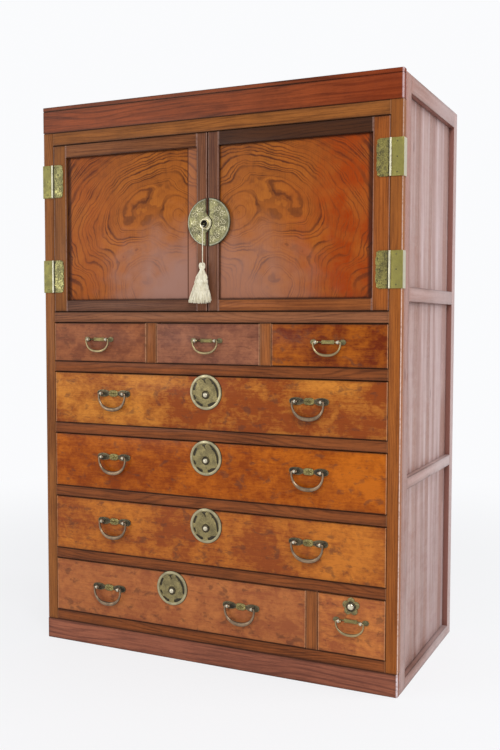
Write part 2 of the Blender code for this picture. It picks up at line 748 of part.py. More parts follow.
def fixed_leaf(name, side, z):
    """The leaf on the post, wrapped round the arris, with two knuckles and the pin."""
    half = HINGE_HEIGHT / 2
    span = (z - half, z + half)
    outer = (-SEAT_GAP - LEAF_THICKNESS)
    inner_edge = WIDTH / 2 - HINGE_X
    y_span = behind(outer, -SEAT_GAP)
    solids = [
        box(across(side, outer, inner_edge), y_span, span),
        box(across(side, outer, -SEAT_GAP), behind(outer, LEAF_WRAP), span),
    ]
    reach = KNUCKLE_RADIUS + HINGE_BORE_GAP
    middle = (z - half + KNUCKLE_LENGTH, z + half - KNUCKLE_LENGTH)
    cuts = [box(across(side, inner_edge - reach, inner_edge), y_span, middle)]
    leaf = add_object(name, block_mesh(solids, cuts), "brass", (side * HINGE_X, HINGE_Y, z))
    profile = ((-half, KNUCKLE_RADIUS), (-half + KNUCKLE_LENGTH, KNUCKLE_RADIUS),
               (-half + KNUCKLE_LENGTH, HINGE_PIN_RADIUS), (half - KNUCKLE_LENGTH, HINGE_PIN_RADIUS),
               (half - KNUCKLE_LENGTH, KNUCKLE_RADIUS), (half, KNUCKLE_RADIUS))
    pin = turned(profile, (side * HINGE_X, HINGE_Y, z), 2, KNUCKLE_SIDES)
    combine(leaf, "knuckles", "UNION", pin, "brass")


def moving_leaf(name, side, z, parent):
    """The leaf on the door, with a shaped outer edge and the middle knuckle."""
    half = HINGE_HEIGHT / 2
    reach = KNUCKLE_RADIUS + HINGE_BORE_GAP
    inner_half = half - KNUCKLE_LENGTH - HINGE_BORE_GAP

    def point(from_axis, up):
        return (side * (HINGE_X - from_axis), z + up)

    edge = [(DOOR_LEAF_WIDTH * width, HINGE_HEIGHT * up) for up, width in LEAF_EDGE_SHARES]
    right = edge + [(a, -b) for a, b in edge[-2::-1]]
    knuckle = [(reach, -half), (reach, -inner_half), (0, -inner_half), (0, inner_half),
               (reach, inner_half), (reach, half)]

    def outline(inset):
        return [point(a, b) for a, b in right + knuckle]

    layers = ((SEAT_GAP, 0), (SEAT_GAP + LEAF_THICKNESS, 0))
    origin = (side * HINGE_X, HINGE_Y, z)
    leaf = add_object(name, plate(outline, layers, FACE), "brass", origin, parent)
    bore = HINGE_PIN_RADIUS + HINGE_BORE_GAP
    profile = ((-inner_half, KNUCKLE_RADIUS), (inner_half, KNUCKLE_RADIUS))
    combine(leaf, "knuckle", "UNION", turned(profile, origin, 2, KNUCKLE_SIDES), "brass")
    cut = turned(((-half, bore), (half, bore)), origin, 2, KNUCKLE_SIDES)
    combine(leaf, "bore", "DIFFERENCE", cut, "brass")


def door(name, side, parent):
    """A framed door with its panel in a groove."""
    low, high = OPENINGS["doors"]
    low += RUN_GAP
    high -= RUN_GAP
    outer = WIDTH / 2 - POST_WIDTH - RUN_GAP
    inner = DOOR_MEETING_GAP / 2

    def span(near, far):
        return tuple(sorted((side * near, side * far)))

    panel_z = (low + DOOR_BOTTOM_RAIL, high - DOOR_TOP_RAIL)
    panel_x = (inner + MEETING_STILE, outer - HINGE_STILE)
    groove_y = behind(DOOR_PANEL_RECESS, DOOR_PANEL_RECESS + DOOR_PANEL + 2 * SEAT_GAP)
    groove_x = (panel_x[0] - GROOVE_DEPTH, panel_x[1] + GROOVE_DEPTH)
    groove_z = (panel_z[0] - GROOVE_DEPTH, panel_z[1] + GROOVE_DEPTH)
    frame = block_mesh(
        [box(span(inner, outer), behind(0, DOOR_THICKNESS), (low, high))],
        [box(span(*panel_x), behind(0, DOOR_THICKNESS), panel_z), box(span(*groove_x), groove_y, groove_z)])
    add_object(f"{name}_frame", frame, "rail_wood", (parent.location.x, parent.location.y, low), parent)
    panel = block_mesh([box(
        span(groove_x[0] + SEAT_GAP, groove_x[1] - SEAT_GAP),
        (groove_y[0] + SEAT_GAP, groove_y[1] - SEAT_GAP),
        (groove_z[0] + SEAT_GAP, groove_z[1] - SEAT_GAP))])
    add_object(f"{name}_panel", panel, "panel_wood", (parent.location.x, parent.location.y, low), parent)


def half_lock_plate(name, side, chord, notch_depth, parent):
    """One half of the round door lock plate, cut off straight beside the meeting stiles.

    The right half is notched round the collar of the keyhole.
    """
    centre_z = sum(OPENINGS["doors"]) / 2
    steps = ROUND_SIDES // 2 + NOTCH_STEPS

    def outline(inset):
        radius = DOOR_LOCK_RADIUS - inset
        edge = chord + inset
        start = acos((edge - side * DOOR_LOCK_OFFSET) / radius)
        points = []
        for step in range(steps + 1):
            turn = start - 2 * start * step / steps
            points.append((DOOR_LOCK_OFFSET + side * radius * cos(turn), centre_z + radius * sin(turn)))
        for step in range(1, NOTCH_STEPS if notch_depth else 1):
            turn = pi * step / NOTCH_STEPS
            points.append((side * (edge + notch_depth * sin(turn)),
                           centre_z - (LOCK_NOTCH_SPAN / 2 + inset) * cos(turn)))
        return points

    front = SEAT_GAP + LOCK_PLATE_THICKNESS
    layers = ((SEAT_GAP, 0), (front + LOCK_RIM_RAISE, 0), (front + LOCK_RIM_RAISE, LOCK_RIM_WIDTH * 0.8),
              (front, LOCK_RIM_WIDTH))
    shape = plate(outline, layers, FACE)
    add_object(name, shape, "brass", (parent.location.x, parent.location.y, centre_z), parent)


LOCK_FACE = FACE - SEAT_GAP - LOCK_PLATE_THICKNESS - LOCK_RIM_RAISE
BOSS_BACK = LOCK_FACE - SEAT_GAP
BOSS_CENTRE = (-BOSS_OFFSET, BOSS_BACK, sum(OPENINGS["doors"]) / 2 - BOSS_DROP)


def lock_boss(parent):
    """The collar round the keyhole of the door lock, with the pin that the key fits."""
    centre = BOSS_CENTRE
    profile = ((0, BOSS_RADIUS), (-BOSS_HEIGHT * 0.75, BOSS_RADIUS), (-BOSS_HEIGHT, BOSS_RADIUS * 0.93),
               (-BOSS_HEIGHT, BOSS_BORE), (-BOSS_FLOOR, BOSS_BORE), (-BOSS_FLOOR, KEY_PIN_RADIUS),
               (-KEY_PIN_HEIGHT, KEY_PIN_RADIUS))
    shape = turned(profile, centre, 1, BUTTON_SIDES)
    add_object("door_lock_boss", shape, "brass", centre, parent)


def cord_route():
    """The cord's line: out of the keyhole, over its rim at the lower right, and down."""
    tie_reach = (BOSS_BORE + KEY_PIN_RADIUS) / 2
    tie_x = BOSS_CENTRE[0] + tie_reach * sin(pi / 4)
    tie_z = BOSS_CENTRE[2] - tie_reach * cos(pi / 4)
    floor_y = BOSS_BACK - BOSS_FLOOR
    hang_y = BOSS_BACK - BOSS_HEIGHT - CORD_RADIUS - SEAT_GAP
    points = [Vector((tie_x, floor_y - SEAT_GAP, tie_z)), Vector((tie_x, (floor_y + hang_y) / 2, tie_z))]
    for step in range(CORD_BEND_STEPS + 1):
        turn = pi / 2 * step / CORD_BEND_STEPS
        points.append(Vector((tie_x, hang_y - CORD_BEND_REACH * sin(turn),
                              tie_z - CORD_BEND_REACH * (1 - cos(turn)))))
    start = points[-1]
    drop = start.z - (tie_z - CORD_LENGTH)
    for step in range(1, CORD_HANG_STEPS + 1):
        points.append(start - Vector((0, 0, drop * step / CORD_HANG_STEPS)))
    return points, Vector((tie_x, hang_y, tie_z))


# Down the tassel: share of its length, and half width as a share of the part named
TASSEL_KNOT_SHARES = ((0.0, 0.45), (0.04, 0.95), (0.09, 1.0), (0.17, 0.88))
TASSEL_BELL_SHARES = ((0.23, 0.55), (0.29, 0.65), (0.36, 0.88), (0.42, 1.0), (0.47, 0.87))
TASSEL_BAND_SHARES = ((0.50, 0.98), (0.57, 1.0), (0.60, 0.98))
TASSEL_SKIRT_SHARES = ((0.78, 0.78), (1.0, 1.0))


def tassel(parent):
    """A white cord tied at the keyhole and the tassel that hangs on it."""
    points, pivot = cord_route()
    curve = bpy.data.curves.new("tassel_cord", "CURVE")
    curve.dimensions = "3D"
    curve.bevel_depth = CORD_RADIUS
    curve.bevel_resolution = 1
    curve.use_fill_caps = True
    curve.materials.append(finish("tassel_cord", "silk"))
    spline = curve.splines.new("POLY")
    spline.points.add(len(points) - 1)
    for target, point in zip(spline.points, points):
        target.co = (*(point - pivot), 1)
    cord = bpy.data.objects.new("tassel_cord", curve)
    swing = add_empty("tassel_axis", pivot - parent.location)
    swing.parent = parent
    cord.parent = swing
    bpy.context.scene.collection.objects.link(cord)

    top = points[-1] - Vector((0, 0, SEAT_GAP))
    sides = TASSEL_FLUTES * 2
    rings = []
    for shares, half_width in ((TASSEL_KNOT_SHARES, KNOT_RADIUS), (TASSEL_BELL_SHARES, TASSEL_BELL_WIDTH / 2),
                               (TASSEL_BAND_SHARES, TASSEL_BAND_WIDTH / 2),
                               (TASSEL_SKIRT_SHARES, TASSEL_SKIRT_WIDTH / 2)):
        flute = TASSEL_FLUTE_SHARE if shares is TASSEL_SKIRT_SHARES else 0
        for down, width in shares:
            ring = []
            for step in range(sides):
                turn = tau * step / sides
                radius = half_width * width * (1 + flute * (1 if step % 2 else -1))
                deep = max(radius * TASSEL_THICKNESS_SHARE, min(radius, KNOT_RADIUS * 0.9))
                ring.append(top + Vector((radius * cos(turn), deep * sin(turn), -down * TASSEL_LENGTH)))
            rings.append(ring)
    shape = loft(rings)
    piece = add_object("tassel", shape, "silk", pivot)
    piece.parent = swing
    piece.location = (0, 0, 0)


case()
for values in DRAWERS:
    drawer(*values)
for door_name, door_side, door_chord, door_notch in (
        ("left_door", -1, DOOR_LOCK_LEFT_CHORD, 0),
        ("right_door", 1, DOOR_LOCK_RIGHT_CHORD, LOCK_NOTCH_DEPTH)):
    axis = add_empty(f"{door_name}_axis", (door_side * HINGE_X, HINGE_Y, 0))
    door(door_name, door_side, axis)
    half_lock_plate(f"{door_name}_lock_plate", door_side, door_chord, door_notch, axis)
    for level_name, level in hinge_levels().items():
        fixed_leaf(f"{door_name}_{level_name}_hinge_post_leaf", door_side, level)
        moving_leaf(f"{door_name}_{level_name}_hinge_door_leaf", door_side, level, axis)
    if door_side < 0:
        lock_boss(axis)
        tassel(axis)
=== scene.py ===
import json
import math
import random

import bmesh
import bpy
from mathutils import Matrix, Vector


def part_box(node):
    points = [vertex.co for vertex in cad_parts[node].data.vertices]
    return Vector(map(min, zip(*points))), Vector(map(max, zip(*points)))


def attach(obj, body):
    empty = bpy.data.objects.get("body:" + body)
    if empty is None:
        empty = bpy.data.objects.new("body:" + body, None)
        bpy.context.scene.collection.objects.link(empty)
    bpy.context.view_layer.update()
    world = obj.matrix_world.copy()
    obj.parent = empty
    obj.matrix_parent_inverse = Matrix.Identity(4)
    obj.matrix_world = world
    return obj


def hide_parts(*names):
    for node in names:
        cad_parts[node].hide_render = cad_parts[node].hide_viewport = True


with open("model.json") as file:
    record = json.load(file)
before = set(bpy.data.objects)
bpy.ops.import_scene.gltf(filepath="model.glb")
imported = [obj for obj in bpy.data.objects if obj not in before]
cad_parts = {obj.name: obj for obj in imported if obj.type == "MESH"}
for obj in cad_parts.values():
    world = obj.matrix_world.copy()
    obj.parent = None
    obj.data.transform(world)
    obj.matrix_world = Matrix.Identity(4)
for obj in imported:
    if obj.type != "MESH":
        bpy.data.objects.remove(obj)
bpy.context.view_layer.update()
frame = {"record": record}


# The room: a white floor that runs into a white ground, with soft light from two large
# lamps on the right, two weaker ones on the left and the ground all round.
# The camera stands right of the front, a little above half the height of the chest.
CAMERA_PLACE = (1.0032, -2.1308, 0.8026)
CAMERA_TURN = math.radians(25.24)
CAMERA_DIP = math.radians(3.36)
CAMERA_ROLL = math.radians(0.11)
CAMERA_LENS = 45.08

ahead = Vector((-math.sin(CAMERA_TURN) * math.cos(CAMERA_DIP),
                math.cos(CAMERA_TURN) * math.cos(CAMERA_DIP),
                -math.sin(CAMERA_DIP)))


def set_out(name, data):
    """A new object in the scene."""
    made = bpy.data.objects.new(name, data)
    bpy.context.scene.collection.objects.link(made)
    return made


camera = set_out("camera", bpy.data.cameras.new("camera"))
camera.data.lens = CAMERA_LENS
camera.data.sensor_width = 36
camera.location = CAMERA_PLACE
camera.rotation_mode = "QUATERNION"
camera.rotation_quaternion = (ahead.to_track_quat("-Z", "Y").to_matrix()
                              @ Matrix.Rotation(CAMERA_ROLL, 3, "Z")).to_quaternion()
bpy.context.scene.camera = camera
bpy.context.scene.view_settings.view_transform = "Standard"


def feed(node, sockets):
    """Give each named socket of a node its value or its link."""
    for key, value in sockets.items():
        if isinstance(value, bpy.types.NodeSocket):
            tree.links.new(value, node.inputs[key])
        else:
            node.inputs[key].default_value = value
    return node


def put(kind, sockets=None, **settings):
    """A new shader node in the tree at hand."""
    node = tree.nodes.new(kind)
    for name, value in settings.items():
        setattr(node, name, value)
    return feed(node, sockets or {})


def reckon(operation, *values, clamp=False):
    """The result of one sum on values or sockets."""
    return put("ShaderNodeMath", dict(enumerate(values)), operation=operation, use_clamp=clamp).outputs[0]


def times(value, by, more=0.0, clamp=False):
    """A value times another, and more added to it."""
    return reckon("MULTIPLY_ADD", value, by, more, clamp=clamp)


def step(value, start, end, low=0.0, high=1.0):
    """A smooth step of a value from low at start to high at end."""
    return put("ShaderNodeMapRange", {"Value": value, "From Min": start, "From Max": end,
                                            "To Min": low, "To Max": high},
               interpolation_type="SMOOTHSTEP").outputs[0]


def new_finish(name):
    """An empty material and its shader; its tree is then the one at hand."""
    global tree
    material = bpy.data.materials.new(name)
    material.use_nodes = True
    tree = material.node_tree
    return material, tree.nodes["Principled BSDF"]


def where(kind):
    """The place on a surface, or the way that it faces."""
    return put("ShaderNodeTexCoord").outputs[kind]


world = bpy.data.worlds.new("studio")
bpy.context.scene.world = world
world.use_nodes = True
tree = world.node_tree
tree.nodes.clear()
path = put("ShaderNodeLightPath")
seen = reckon("MAXIMUM", path.outputs["Is Camera Ray"], path.outputs["Is Transmission Ray"])
strength = times(path.outputs["Is Glossy Ray"], 0.15, times(seen, 0.56, 0.42))
ground_light = put("ShaderNodeBackground", {"Color": (0.98, 0.985, 1.0, 1), "Strength": strength})
put("ShaderNodeOutputWorld", {"Surface": ground_light.outputs[0]})

for lamp_name, place, target, width, height, power in (
        ("key_lamp", (1.7, -2.4, 2.9), (0.0, -0.1, 0.6), 1.6, 1.6, 58.0),
        ("fill_lamp", (-2.6, -2.2, 1.6), (0.0, 0.0, 0.6), 2.2, 2.2, 20.0),
        ("side_lamp", (3.2, 0.6, 1.8), (0.4, 0.0, 0.7), 1.8, 1.8, 44.0),
        ("window_lamp", (-1.85, -3.0, 0.93), (-0.15, -0.23, 0.85), 1.2, 0.5, 9.0)):
    lamp = set_out(lamp_name, bpy.data.lights.new(lamp_name, "AREA"))
    lamp.data.shape = "RECTANGLE"
    lamp.data.size = width
    lamp.data.size_y = height
    lamp.data.energy = power
    lamp.location = place
    lamp.rotation_mode = "QUATERNION"
    lamp.rotation_quaternion = (Vector(target) - Vector(place)).to_track_quat("-Z", "Y")

FLOOR_HALF = 9.0
floor_mesh = bpy.data.meshes.new("studio_floor")
floor_mesh.from_pydata([(-FLOOR_HALF, -FLOOR_HALF, 0), (FLOOR_HALF, -FLOOR_HALF, 0),
                        (FLOOR_HALF, FLOOR_HALF, 0), (-FLOOR_HALF, FLOOR_HALF, 0)], [], [(0, 1, 2, 3)])
studio_floor = set_out("studio_floor", floor_mesh)
floor_paint, floor_surface = new_finish("floor_paint")
feed(floor_surface, {"Base Color": (0.93, 0.935, 0.95, 1), "Roughness": 0.6})
path = put("ShaderNodeLightPath")
seen = reckon("MAXIMUM", reckon("MAXIMUM", path.outputs["Is Camera Ray"], path.outputs["Is Glossy Ray"]),
              path.outputs["Is Transmission Ray"])
from_middle = put("ShaderNodeVectorMath", {0: where("Object")}, operation="LENGTH").outputs["Value"]
open_ground = times(seen, step(from_middle, 0.9, 2.6, 0.78, 1.0))
white_ground = put("ShaderNodeEmission", {"Color": (0.98, 0.985, 1.0, 1), "Strength": 0.98})
blend_in = put("ShaderNodeMixShader", {0: open_ground, 1: floor_surface.outputs[0], 2: white_ground.outputs[0]})
feed(tree.nodes["Material Output"], {"Surface": blend_in.outputs[0]})
floor_mesh.materials.append(floor_paint)


# The cord and its tassel: a thin twisted white silk cord tied in the keyhole of the left
# door, and a tassel of the same silk, with a knot, a bound head, a fringed band and a
# skirt of loose strands. The cord hangs down straight in front of the meeting stiles.
CORD_RADIUS = 0.001
CORD_DROP = 0.083
CORD_BEND = 0.0026
TIE = Vector((-0.006884, -0.2347, 1.015134))
OVER_RIM_Y = -0.239


def tint(factor, below, above):
    """One colour laid over another."""
    return put("ShaderNodeMix", {0: factor, 6: below, 7: above}, data_type="RGBA").outputs[2]


def axes(vector):
    """The three parts of a vector."""
    return put("ShaderNodeSeparateXYZ", {0: vector}).outputs


def lay_over(factor, colour):
    """Another colour laid over the one that the finish at hand has so far."""
    surface = tree.nodes["Principled BSDF"]
    so_far = surface.inputs["Base Color"].links[0].from_socket
    feed(surface, {"Base Color": tint(factor, so_far, colour)})


def stretch(vector, *factors):
    """A vector multiplied on each axis."""
    return put("ShaderNodeVectorMath", {0: vector, 1: factors}, operation="MULTIPLY").outputs[0]


def cloud(vector, scale, detail=3.0, rough=0.55, twist=0.0):
    """A soft random value around one half."""
    return put("ShaderNodeTexNoise", {"Vector": vector, "Scale": scale, "Detail": detail,
                                            "Roughness": rough, "Distortion": twist}).outputs["Fac"]


def add_in(stack, shape):
    """Put a finished shape into a stack."""
    carrier = bpy.data.meshes.new("carrier")
    shape.to_mesh(carrier)
    shape.free()
    stack.from_mesh(carrier)
    bpy.data.meshes.remove(carrier)


def fit(name, shape, material, body, replaced=(), sharp=35):
    """A finished piece that rides on a body and stands for the named solids."""
    mesh = bpy.data.meshes.new(name)
    shape.to_mesh(mesh)
    shape.free()
    mesh.shade_smooth()
    mesh.set_sharp_from_angle(angle=math.radians(sharp))
    mesh.materials.append(material)
    made = set_out(name, mesh)
    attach(made, body)
    if replaced:
        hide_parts(*replaced)
    return made


def skin(rings, closed=False):
    """A skin over rings of points, capped at its ends unless it closes on itself."""
    shape = bmesh.new()
    rows = [[shape.verts.new(point) for point in ring] for ring in rings]
    pairs = list(zip(rows, rows[1:]))
    if closed:
        pairs.append((rows[-1], rows[0]))
    for lower, upper in pairs:
        for index in range(len(lower)):
            after = (index + 1) % len(lower)
            shape.faces.new((lower[index], lower[after], upper[after], upper[index]))
    if not closed:
        shape.faces.new(rows[0])
        shape.faces.new(rows[-1])
    bmesh.ops.recalc_face_normals(shape, faces=shape.faces)
    return shape


def turns(count):
    """The angles of so many equal parts of a full turn."""
    return [math.tau * part / count for part in range(count)]


def ring_round(point, radius, out, over, sides):
    """A ring of points round one point."""
    return [point + radius * (out * math.cos(angle) + over * math.sin(angle)) for angle in turns(sides)]


def thread(route, radii, sides):
    """A round thread along a route of points, with a radius for each point."""
    rings = []
    last = len(route) - 1
    for index, point in enumerate(route):
        along = (route[min(index + 1, last)] - route[max(index - 1, 0)]).normalized()
        across_it = along.cross(Vector((0.3, 1, 0.1))).normalized()
        over_it = along.cross(across_it)
        rings.append(ring_round(point, radii[index], across_it, over_it, sides))
    return skin(rings)


def trace(drawing, points):
    """A line through points in a drawing."""
    line = drawing.splines.new("POLY")
    line.points.add(len(points) - 1)
    for target, point in zip(line.points, points):
        target.co = (*point, 1)
    return line


silk, surface = new_finish("white_silk")
thread_place = where("Object")
yarn = cloud(stretch(thread_place, 900.0, 900.0, 120.0), 1.0, 3.0, 0.6)
soil = cloud(thread_place, 90.0, 3.0, 0.6)
silk_colour = tint(step(soil, 0.4, 0.7, 0.0, 0.7), (0.9, 0.85, 0.68, 1), (0.7, 0.62, 0.42, 1))
silk_colour = tint(step(yarn, 0.44, 0.66, 0.0, 0.35), silk_colour, (0.42, 0.36, 0.25, 1))
# Darker streaks down the locks of strands: partly their own uneven colour, partly painted shade in the gaps
# between them.
yarn_lock_tone_and_shade = cloud(stretch(thread_place, 330.0, 330.0, 22.0), 1.0, 2.0, 0.5)
silk_colour = tint(step(yarn_lock_tone_and_shade, 0.5, 0.66, 0.0, 0.55), silk_colour, (0.4, 0.33, 0.19, 1))
relief = put("ShaderNodeBump", {"Height": yarn, "Distance": 0.0004, "Strength": 0.7}).outputs[0]
feed(surface, {"Base Color": silk_colour, "Normal": relief, "Roughness": 0.62, "Sheen Weight": 0.25})

route = [TIE, Vector((TIE.x, -0.2367, TIE.z))]
for turn in range(6):
    angle = math.pi / 2 * turn / 5
    route.append(Vector((TIE.x, OVER_RIM_Y - CORD_BEND * math.sin(angle),
                         TIE.z - CORD_BEND * (1 - math.cos(angle)))))
start = route[-1]
for turn in range(1, 12):
    route.append(start - Vector((0, 0, (start.z - TIE.z + CORD_DROP) * turn / 11)))
drawing = bpy.data.curves.new("tassel_cord_silk", "CURVE")
drawing.dimensions = "3D"
drawing.bevel_depth = CORD_RADIUS
drawing.bevel_resolution = 4
drawing.use_fill_caps = True
drawing.materials.append(silk)
trace(drawing, route)
cord = set_out("tassel_cord_silk", drawing)
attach(cord, "tassel")
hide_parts("tassel_cord")

TASSEL_LENGTH = 0.093
SKIRT_HALF = 0.029
STRANDS = 180
BAND_HALF = 0.016
THIN = 0.36
KNOT_DEPTH = 0.0065
LEAN = 0.0085
YARN = random.Random(5)
top = route[-1] - Vector((0, 0, 0.0003))
# Depth below the cord and half width down the knot and the bound head
HEAD_SHAPE = ((0.0, 0.002), (0.003, 0.004), (0.0075, 0.005), (0.012, 0.0046), (0.015, 0.0048), (0.019, 0.0062),
              (0.024, 0.0092), (0.029, 0.0125), (0.033, 0.0146), (0.0355, 0.0148), (0.0375, 0.0132),
              (0.04, 0.0136), (0.045, 0.014), (0.05, 0.012))
# The same for the core of the skirt
SKIRT_SHAPE = ((0.044, BAND_HALF * 0.8), (0.06, 0.0165), (0.075, 0.0198),
               (TASSEL_LENGTH - 0.009, SKIRT_HALF * 0.78))


def flat_ring(half, down, angle, swell=1.0):
    """A point round the tassel, which is flattened towards the door."""
    radius = half * swell
    aside = radius * math.cos(angle) - LEAN * (down / TASSEL_LENGTH) ** 1.2
    return top + Vector((aside, max(radius * THIN, min(radius, KNOT_DEPTH)) * math.sin(angle), -down))


tassel = bmesh.new()
ribs = 30
rings = []
for down, half in HEAD_SHAPE:
    rings.append([flat_ring(half, down, math.tau * rib / (ribs * 2), 1.025 if rib % 2 else 0.965)
                  for rib in range(ribs * 2)])
add_in(tassel, skin(rings))
for side in (-1, 1):
    loop = []
    for angle in turns(22):
        loop.append(top + Vector((side * (0.0034 + 0.0024 * math.cos(angle)), -0.0018 * math.sin(angle) - 0.0022,
                -0.0078 + 0.0056 * math.sin(angle + side * 0.35))))
    rings = []
    for turn, point in enumerate(loop):
        along = (loop[(turn + 1) % 22] - loop[turn - 1]).normalized()
        out = along.cross(Vector((0, 1, 0.2))).normalized()
        rings.append(ring_round(point, 0.0023, out, along.cross(out), 10))
    add_in(tassel, skin(rings, closed=True))
for row, (down, half, size) in enumerate(((0.0405, 0.014, 0.0022), (0.044, BAND_HALF - 0.001, 0.0022))):
    beads = 26
    for bead in range(beads):
        angle = math.tau * (bead + 0.5 * row) / beads
        middle = flat_ring(half, down + YARN.uniform(-0.0008, 0.0008), angle)
        ball = bmesh.new()
        bmesh.ops.create_icosphere(ball, subdivisions=2, radius=size * YARN.uniform(0.85, 1.15),
                                   matrix=Matrix.Translation(middle) @ Matrix.Diagonal((1.0, 0.75, 1.35, 1)))
        add_in(tassel, ball)
tassel_head = fit("tassel_head_silk", tassel, silk, "tassel", ["tassel"])
skirt = bmesh.new()
add_in(skirt, skin([[flat_ring(half, down, angle) for angle in turns(40)] for down, half in SKIRT_SHAPE]))
for strand in range(STRANDS):
    angle = math.tau * 3 * strand / STRANDS + YARN.uniform(-0.03, 0.03)
    inward = 1 - 0.16 * (strand % 3)
    lock = math.sin(strand * 0.9 + 1.7 * math.sin(strand * 0.37))
    spread = SKIRT_HALF * inward * (0.96 + 0.035 * lock)
    foot = TASSEL_LENGTH - YARN.uniform(0.0, 0.004) - 0.003 * abs(math.cos(angle)) ** 3
    path_points = []
    for turn in range(7):
        share = turn / 6
        half = BAND_HALF * inward * 0.93 + (spread - BAND_HALF * inward * 0.93) * share ** 0.9
        sway = 0.0006 * math.sin(share * 7 + strand * 1.7) + 0.0009 * share * lock
        path_points.append(flat_ring(half, 0.0455 + (foot - 0.0455) * share, angle) + Vector((sway, 0, 0)))
    add_in(skirt, thread(path_points, [0.001] * 6 + [0.0007], 5))
fit("tassel_skirt_silk", skirt, silk, "tassel", ["tassel"])


# The timber of the chest: every board is sawn with its own grain and has softened
# arrises. Each vertex keeps where it lies in the board, so that the grain runs along
# the board, the finish is darker near its edges with dirt and painted shade, and its worn arrises are paler with
# a painted highlight.
SAW = random.Random(11)
ARRIS = 0.0009
GRAIN_STRAY = 6.0


def timber():
    """An empty stack of boards with the layers that the wood finishes read."""
    stack = bmesh.new()
    for layer in ("grain", "spot", "half"):
        stack.verts.layers.float_vector.new(layer)
    return stack


def plank(stack, x_span, y_span, z_span, along, arris=ARRIS):
    """One board in the stack; along is the axis that its grain runs on."""
    low = Vector((x_span[0], y_span[0], z_span[0]))
    high = Vector((x_span[1], y_span[1], z_span[1]))
    middle, half = (low + high) / 2, (high - low) / 2
    board = timber()
    bmesh.ops.create_cube(board, size=1, matrix=Matrix.Translation(middle) @ Matrix.Diagonal((*(2 * half), 1)))
    bmesh.ops.bevel(board, geom=board.edges[:], offset=min(arris, min(half) * 0.6), segments=2,
                    profile=0.6, affect="EDGES")
    grain, spot, size = (board.verts.layers.float_vector[name] for name in ("grain", "spot", "half"))
    stray = Vector([SAW.uniform(-GRAIN_STRAY, GRAIN_STRAY) for axis in range(3)])
    for vert in board.verts:
        local = vert.co - middle
        vert[grain] = Vector((local[along], local[(along + 1) % 3], local[(along + 2) % 3])) + stray
        vert[spot] = local
        vert[size] = half
    add_in(stack, board)


def board_piece(name, material, slot, node, *planks, body="case"):
    """A piece joined from boards, each given by its spans, its grain and its arris."""
    stack = timber()
    for plank_spans in planks:
        plank(stack, *plank_spans)
    fit(name, stack, material, body, [node])


def spans(low, high):
    """The spans of a box on the three axes."""
    return tuple(zip(low, high))


def new_group(name, inputs, outputs):
    """A shader node group, whose tree is then at hand, with its inputs and its output node."""
    global tree
    tree = bpy.data.node_groups.new(name, "ShaderNodeTree")
    for label, kind, value in inputs:
        made = tree.interface.new_socket(label, in_out="INPUT", socket_type=f"NodeSocket{kind}")
        made.default_value = value
    for label, kind in outputs:
        tree.interface.new_socket(label, in_out="OUTPUT", socket_type=f"NodeSocket{kind}")
    return tree, put("NodeGroupInput").outputs, put("NodeGroupOutput")


def layer(name):
    """A vector that the boards keep at their vertices."""
    return put("ShaderNodeAttribute", attribute_name=name).outputs["Vector"]


# How far a point of a board's surface is from its nearest arris, its upright and its level arrises
edge_group, given, result = new_group("arris_distance", [],
        [("Nearest", "Float"), ("Upright", "Float"), ("Level", "Float")])
apart = put("ShaderNodeVectorMath", {0: layer("spot")}, operation="ABSOLUTE").outputs[0]
apart = put("ShaderNodeVectorMath", {0: layer("half"), 1: apart}, operation="SUBTRACT").outputs[0]
a, b, c = axes(apart)
lesser = reckon("MINIMUM", a, b)
upright = reckon("MAXIMUM", a, b)
nearest = reckon("MAXIMUM", lesser, reckon("MINIMUM", upright, c))
feed(result, {"Nearest": nearest, "Upright": upright, "Level": reckon("MAXIMUM", lesser, c)})

# The grain of one board: cloudy colour, growth lines, fine streaks, flecks and pores
grain_group, given, result = new_group("board_grain", [("Pale", "Color", (0.5, 0.2, 0.06, 1)),
        ("Deep", "Color", (0.25, 0.08, 0.02, 1)), ("Shift", "Float", 0.0), ("Line Spacing", "Float", 0.006),
        ("Lines", "Float", 0.4), ("Streaks", "Float", 0.3), ("Flecks", "Float", 0.3), ("Mottle", "Float", 0.5),
        ("Mottle Size", "Float", 14.0), ("Mottle Stretch", "Float", 0.5), ("Pores", "Float", 0.3)],
        [("Color", "Color"), ("Height", "Float")])
place = layer("grain")
sway = cloud(stretch(place, 1.6, 9.0, 9.0), 1.0, 2.0, 0.5)
along_board, across_board, into_board = axes(place)
shift = times(sway, 0.09, across_board)
shift = times(into_board, 0.7, shift)
turn = reckon("DIVIDE", shift, given["Line Spacing"])
wave = reckon("SINE", times(turn, 2 * math.pi))
ring_line = step(wave, 0.1, 0.98)
ring_patch = step(cloud(stretch(place, 2.2, 16.0, 16.0), 1.0, 2.0), 0.38, 0.62)
ring_line = times(ring_line, times(ring_patch, 0.7, 0.3))
streak = cloud(stretch(place, 7.0, 330.0, 330.0), 1.0, 4.0, 0.62)
fine = cloud(stretch(place, 26.0, 1100.0, 1100.0), 1.0, 2.0, 0.6)
fleck = cloud(stretch(place, 90.0, 420.0, 420.0), 1.0, 3.0, 0.6)
drawn_out = put("ShaderNodeCombineXYZ", {
    0: times(along_board, given["Mottle Stretch"]), 1: across_board, 2: into_board}).outputs[0]
mottle = cloud(drawn_out, given["Mottle Size"], 4.0, 0.58, 0.5)
small_mottle = cloud(drawn_out, times(given["Mottle Size"], 4.3), 3.0, 0.6, 0.3)
clouds = times(step(small_mottle, 0.34, 0.68), 0.35, step(mottle, 0.37, 0.64, 0.0, 0.65))
deep_share = times(clouds, given["Mottle"], given["Shift"])
deep_share = times(ring_line, given["Lines"], deep_share)
deep_share = times(step(streak, 0.4, 0.68), given["Streaks"], deep_share)
deep_share = times(step(fleck, 0.5, 0.72), given["Flecks"], deep_share, clamp=True)
base = tint(deep_share, given["Pale"], given["Deep"])
pore = times(step(fine, 0.6, 0.72), given["Pores"])
base = tint(pore, base, (0.035, 0.014, 0.008, 1))
height = times(streak, 0.5, times(pore, -0.8))
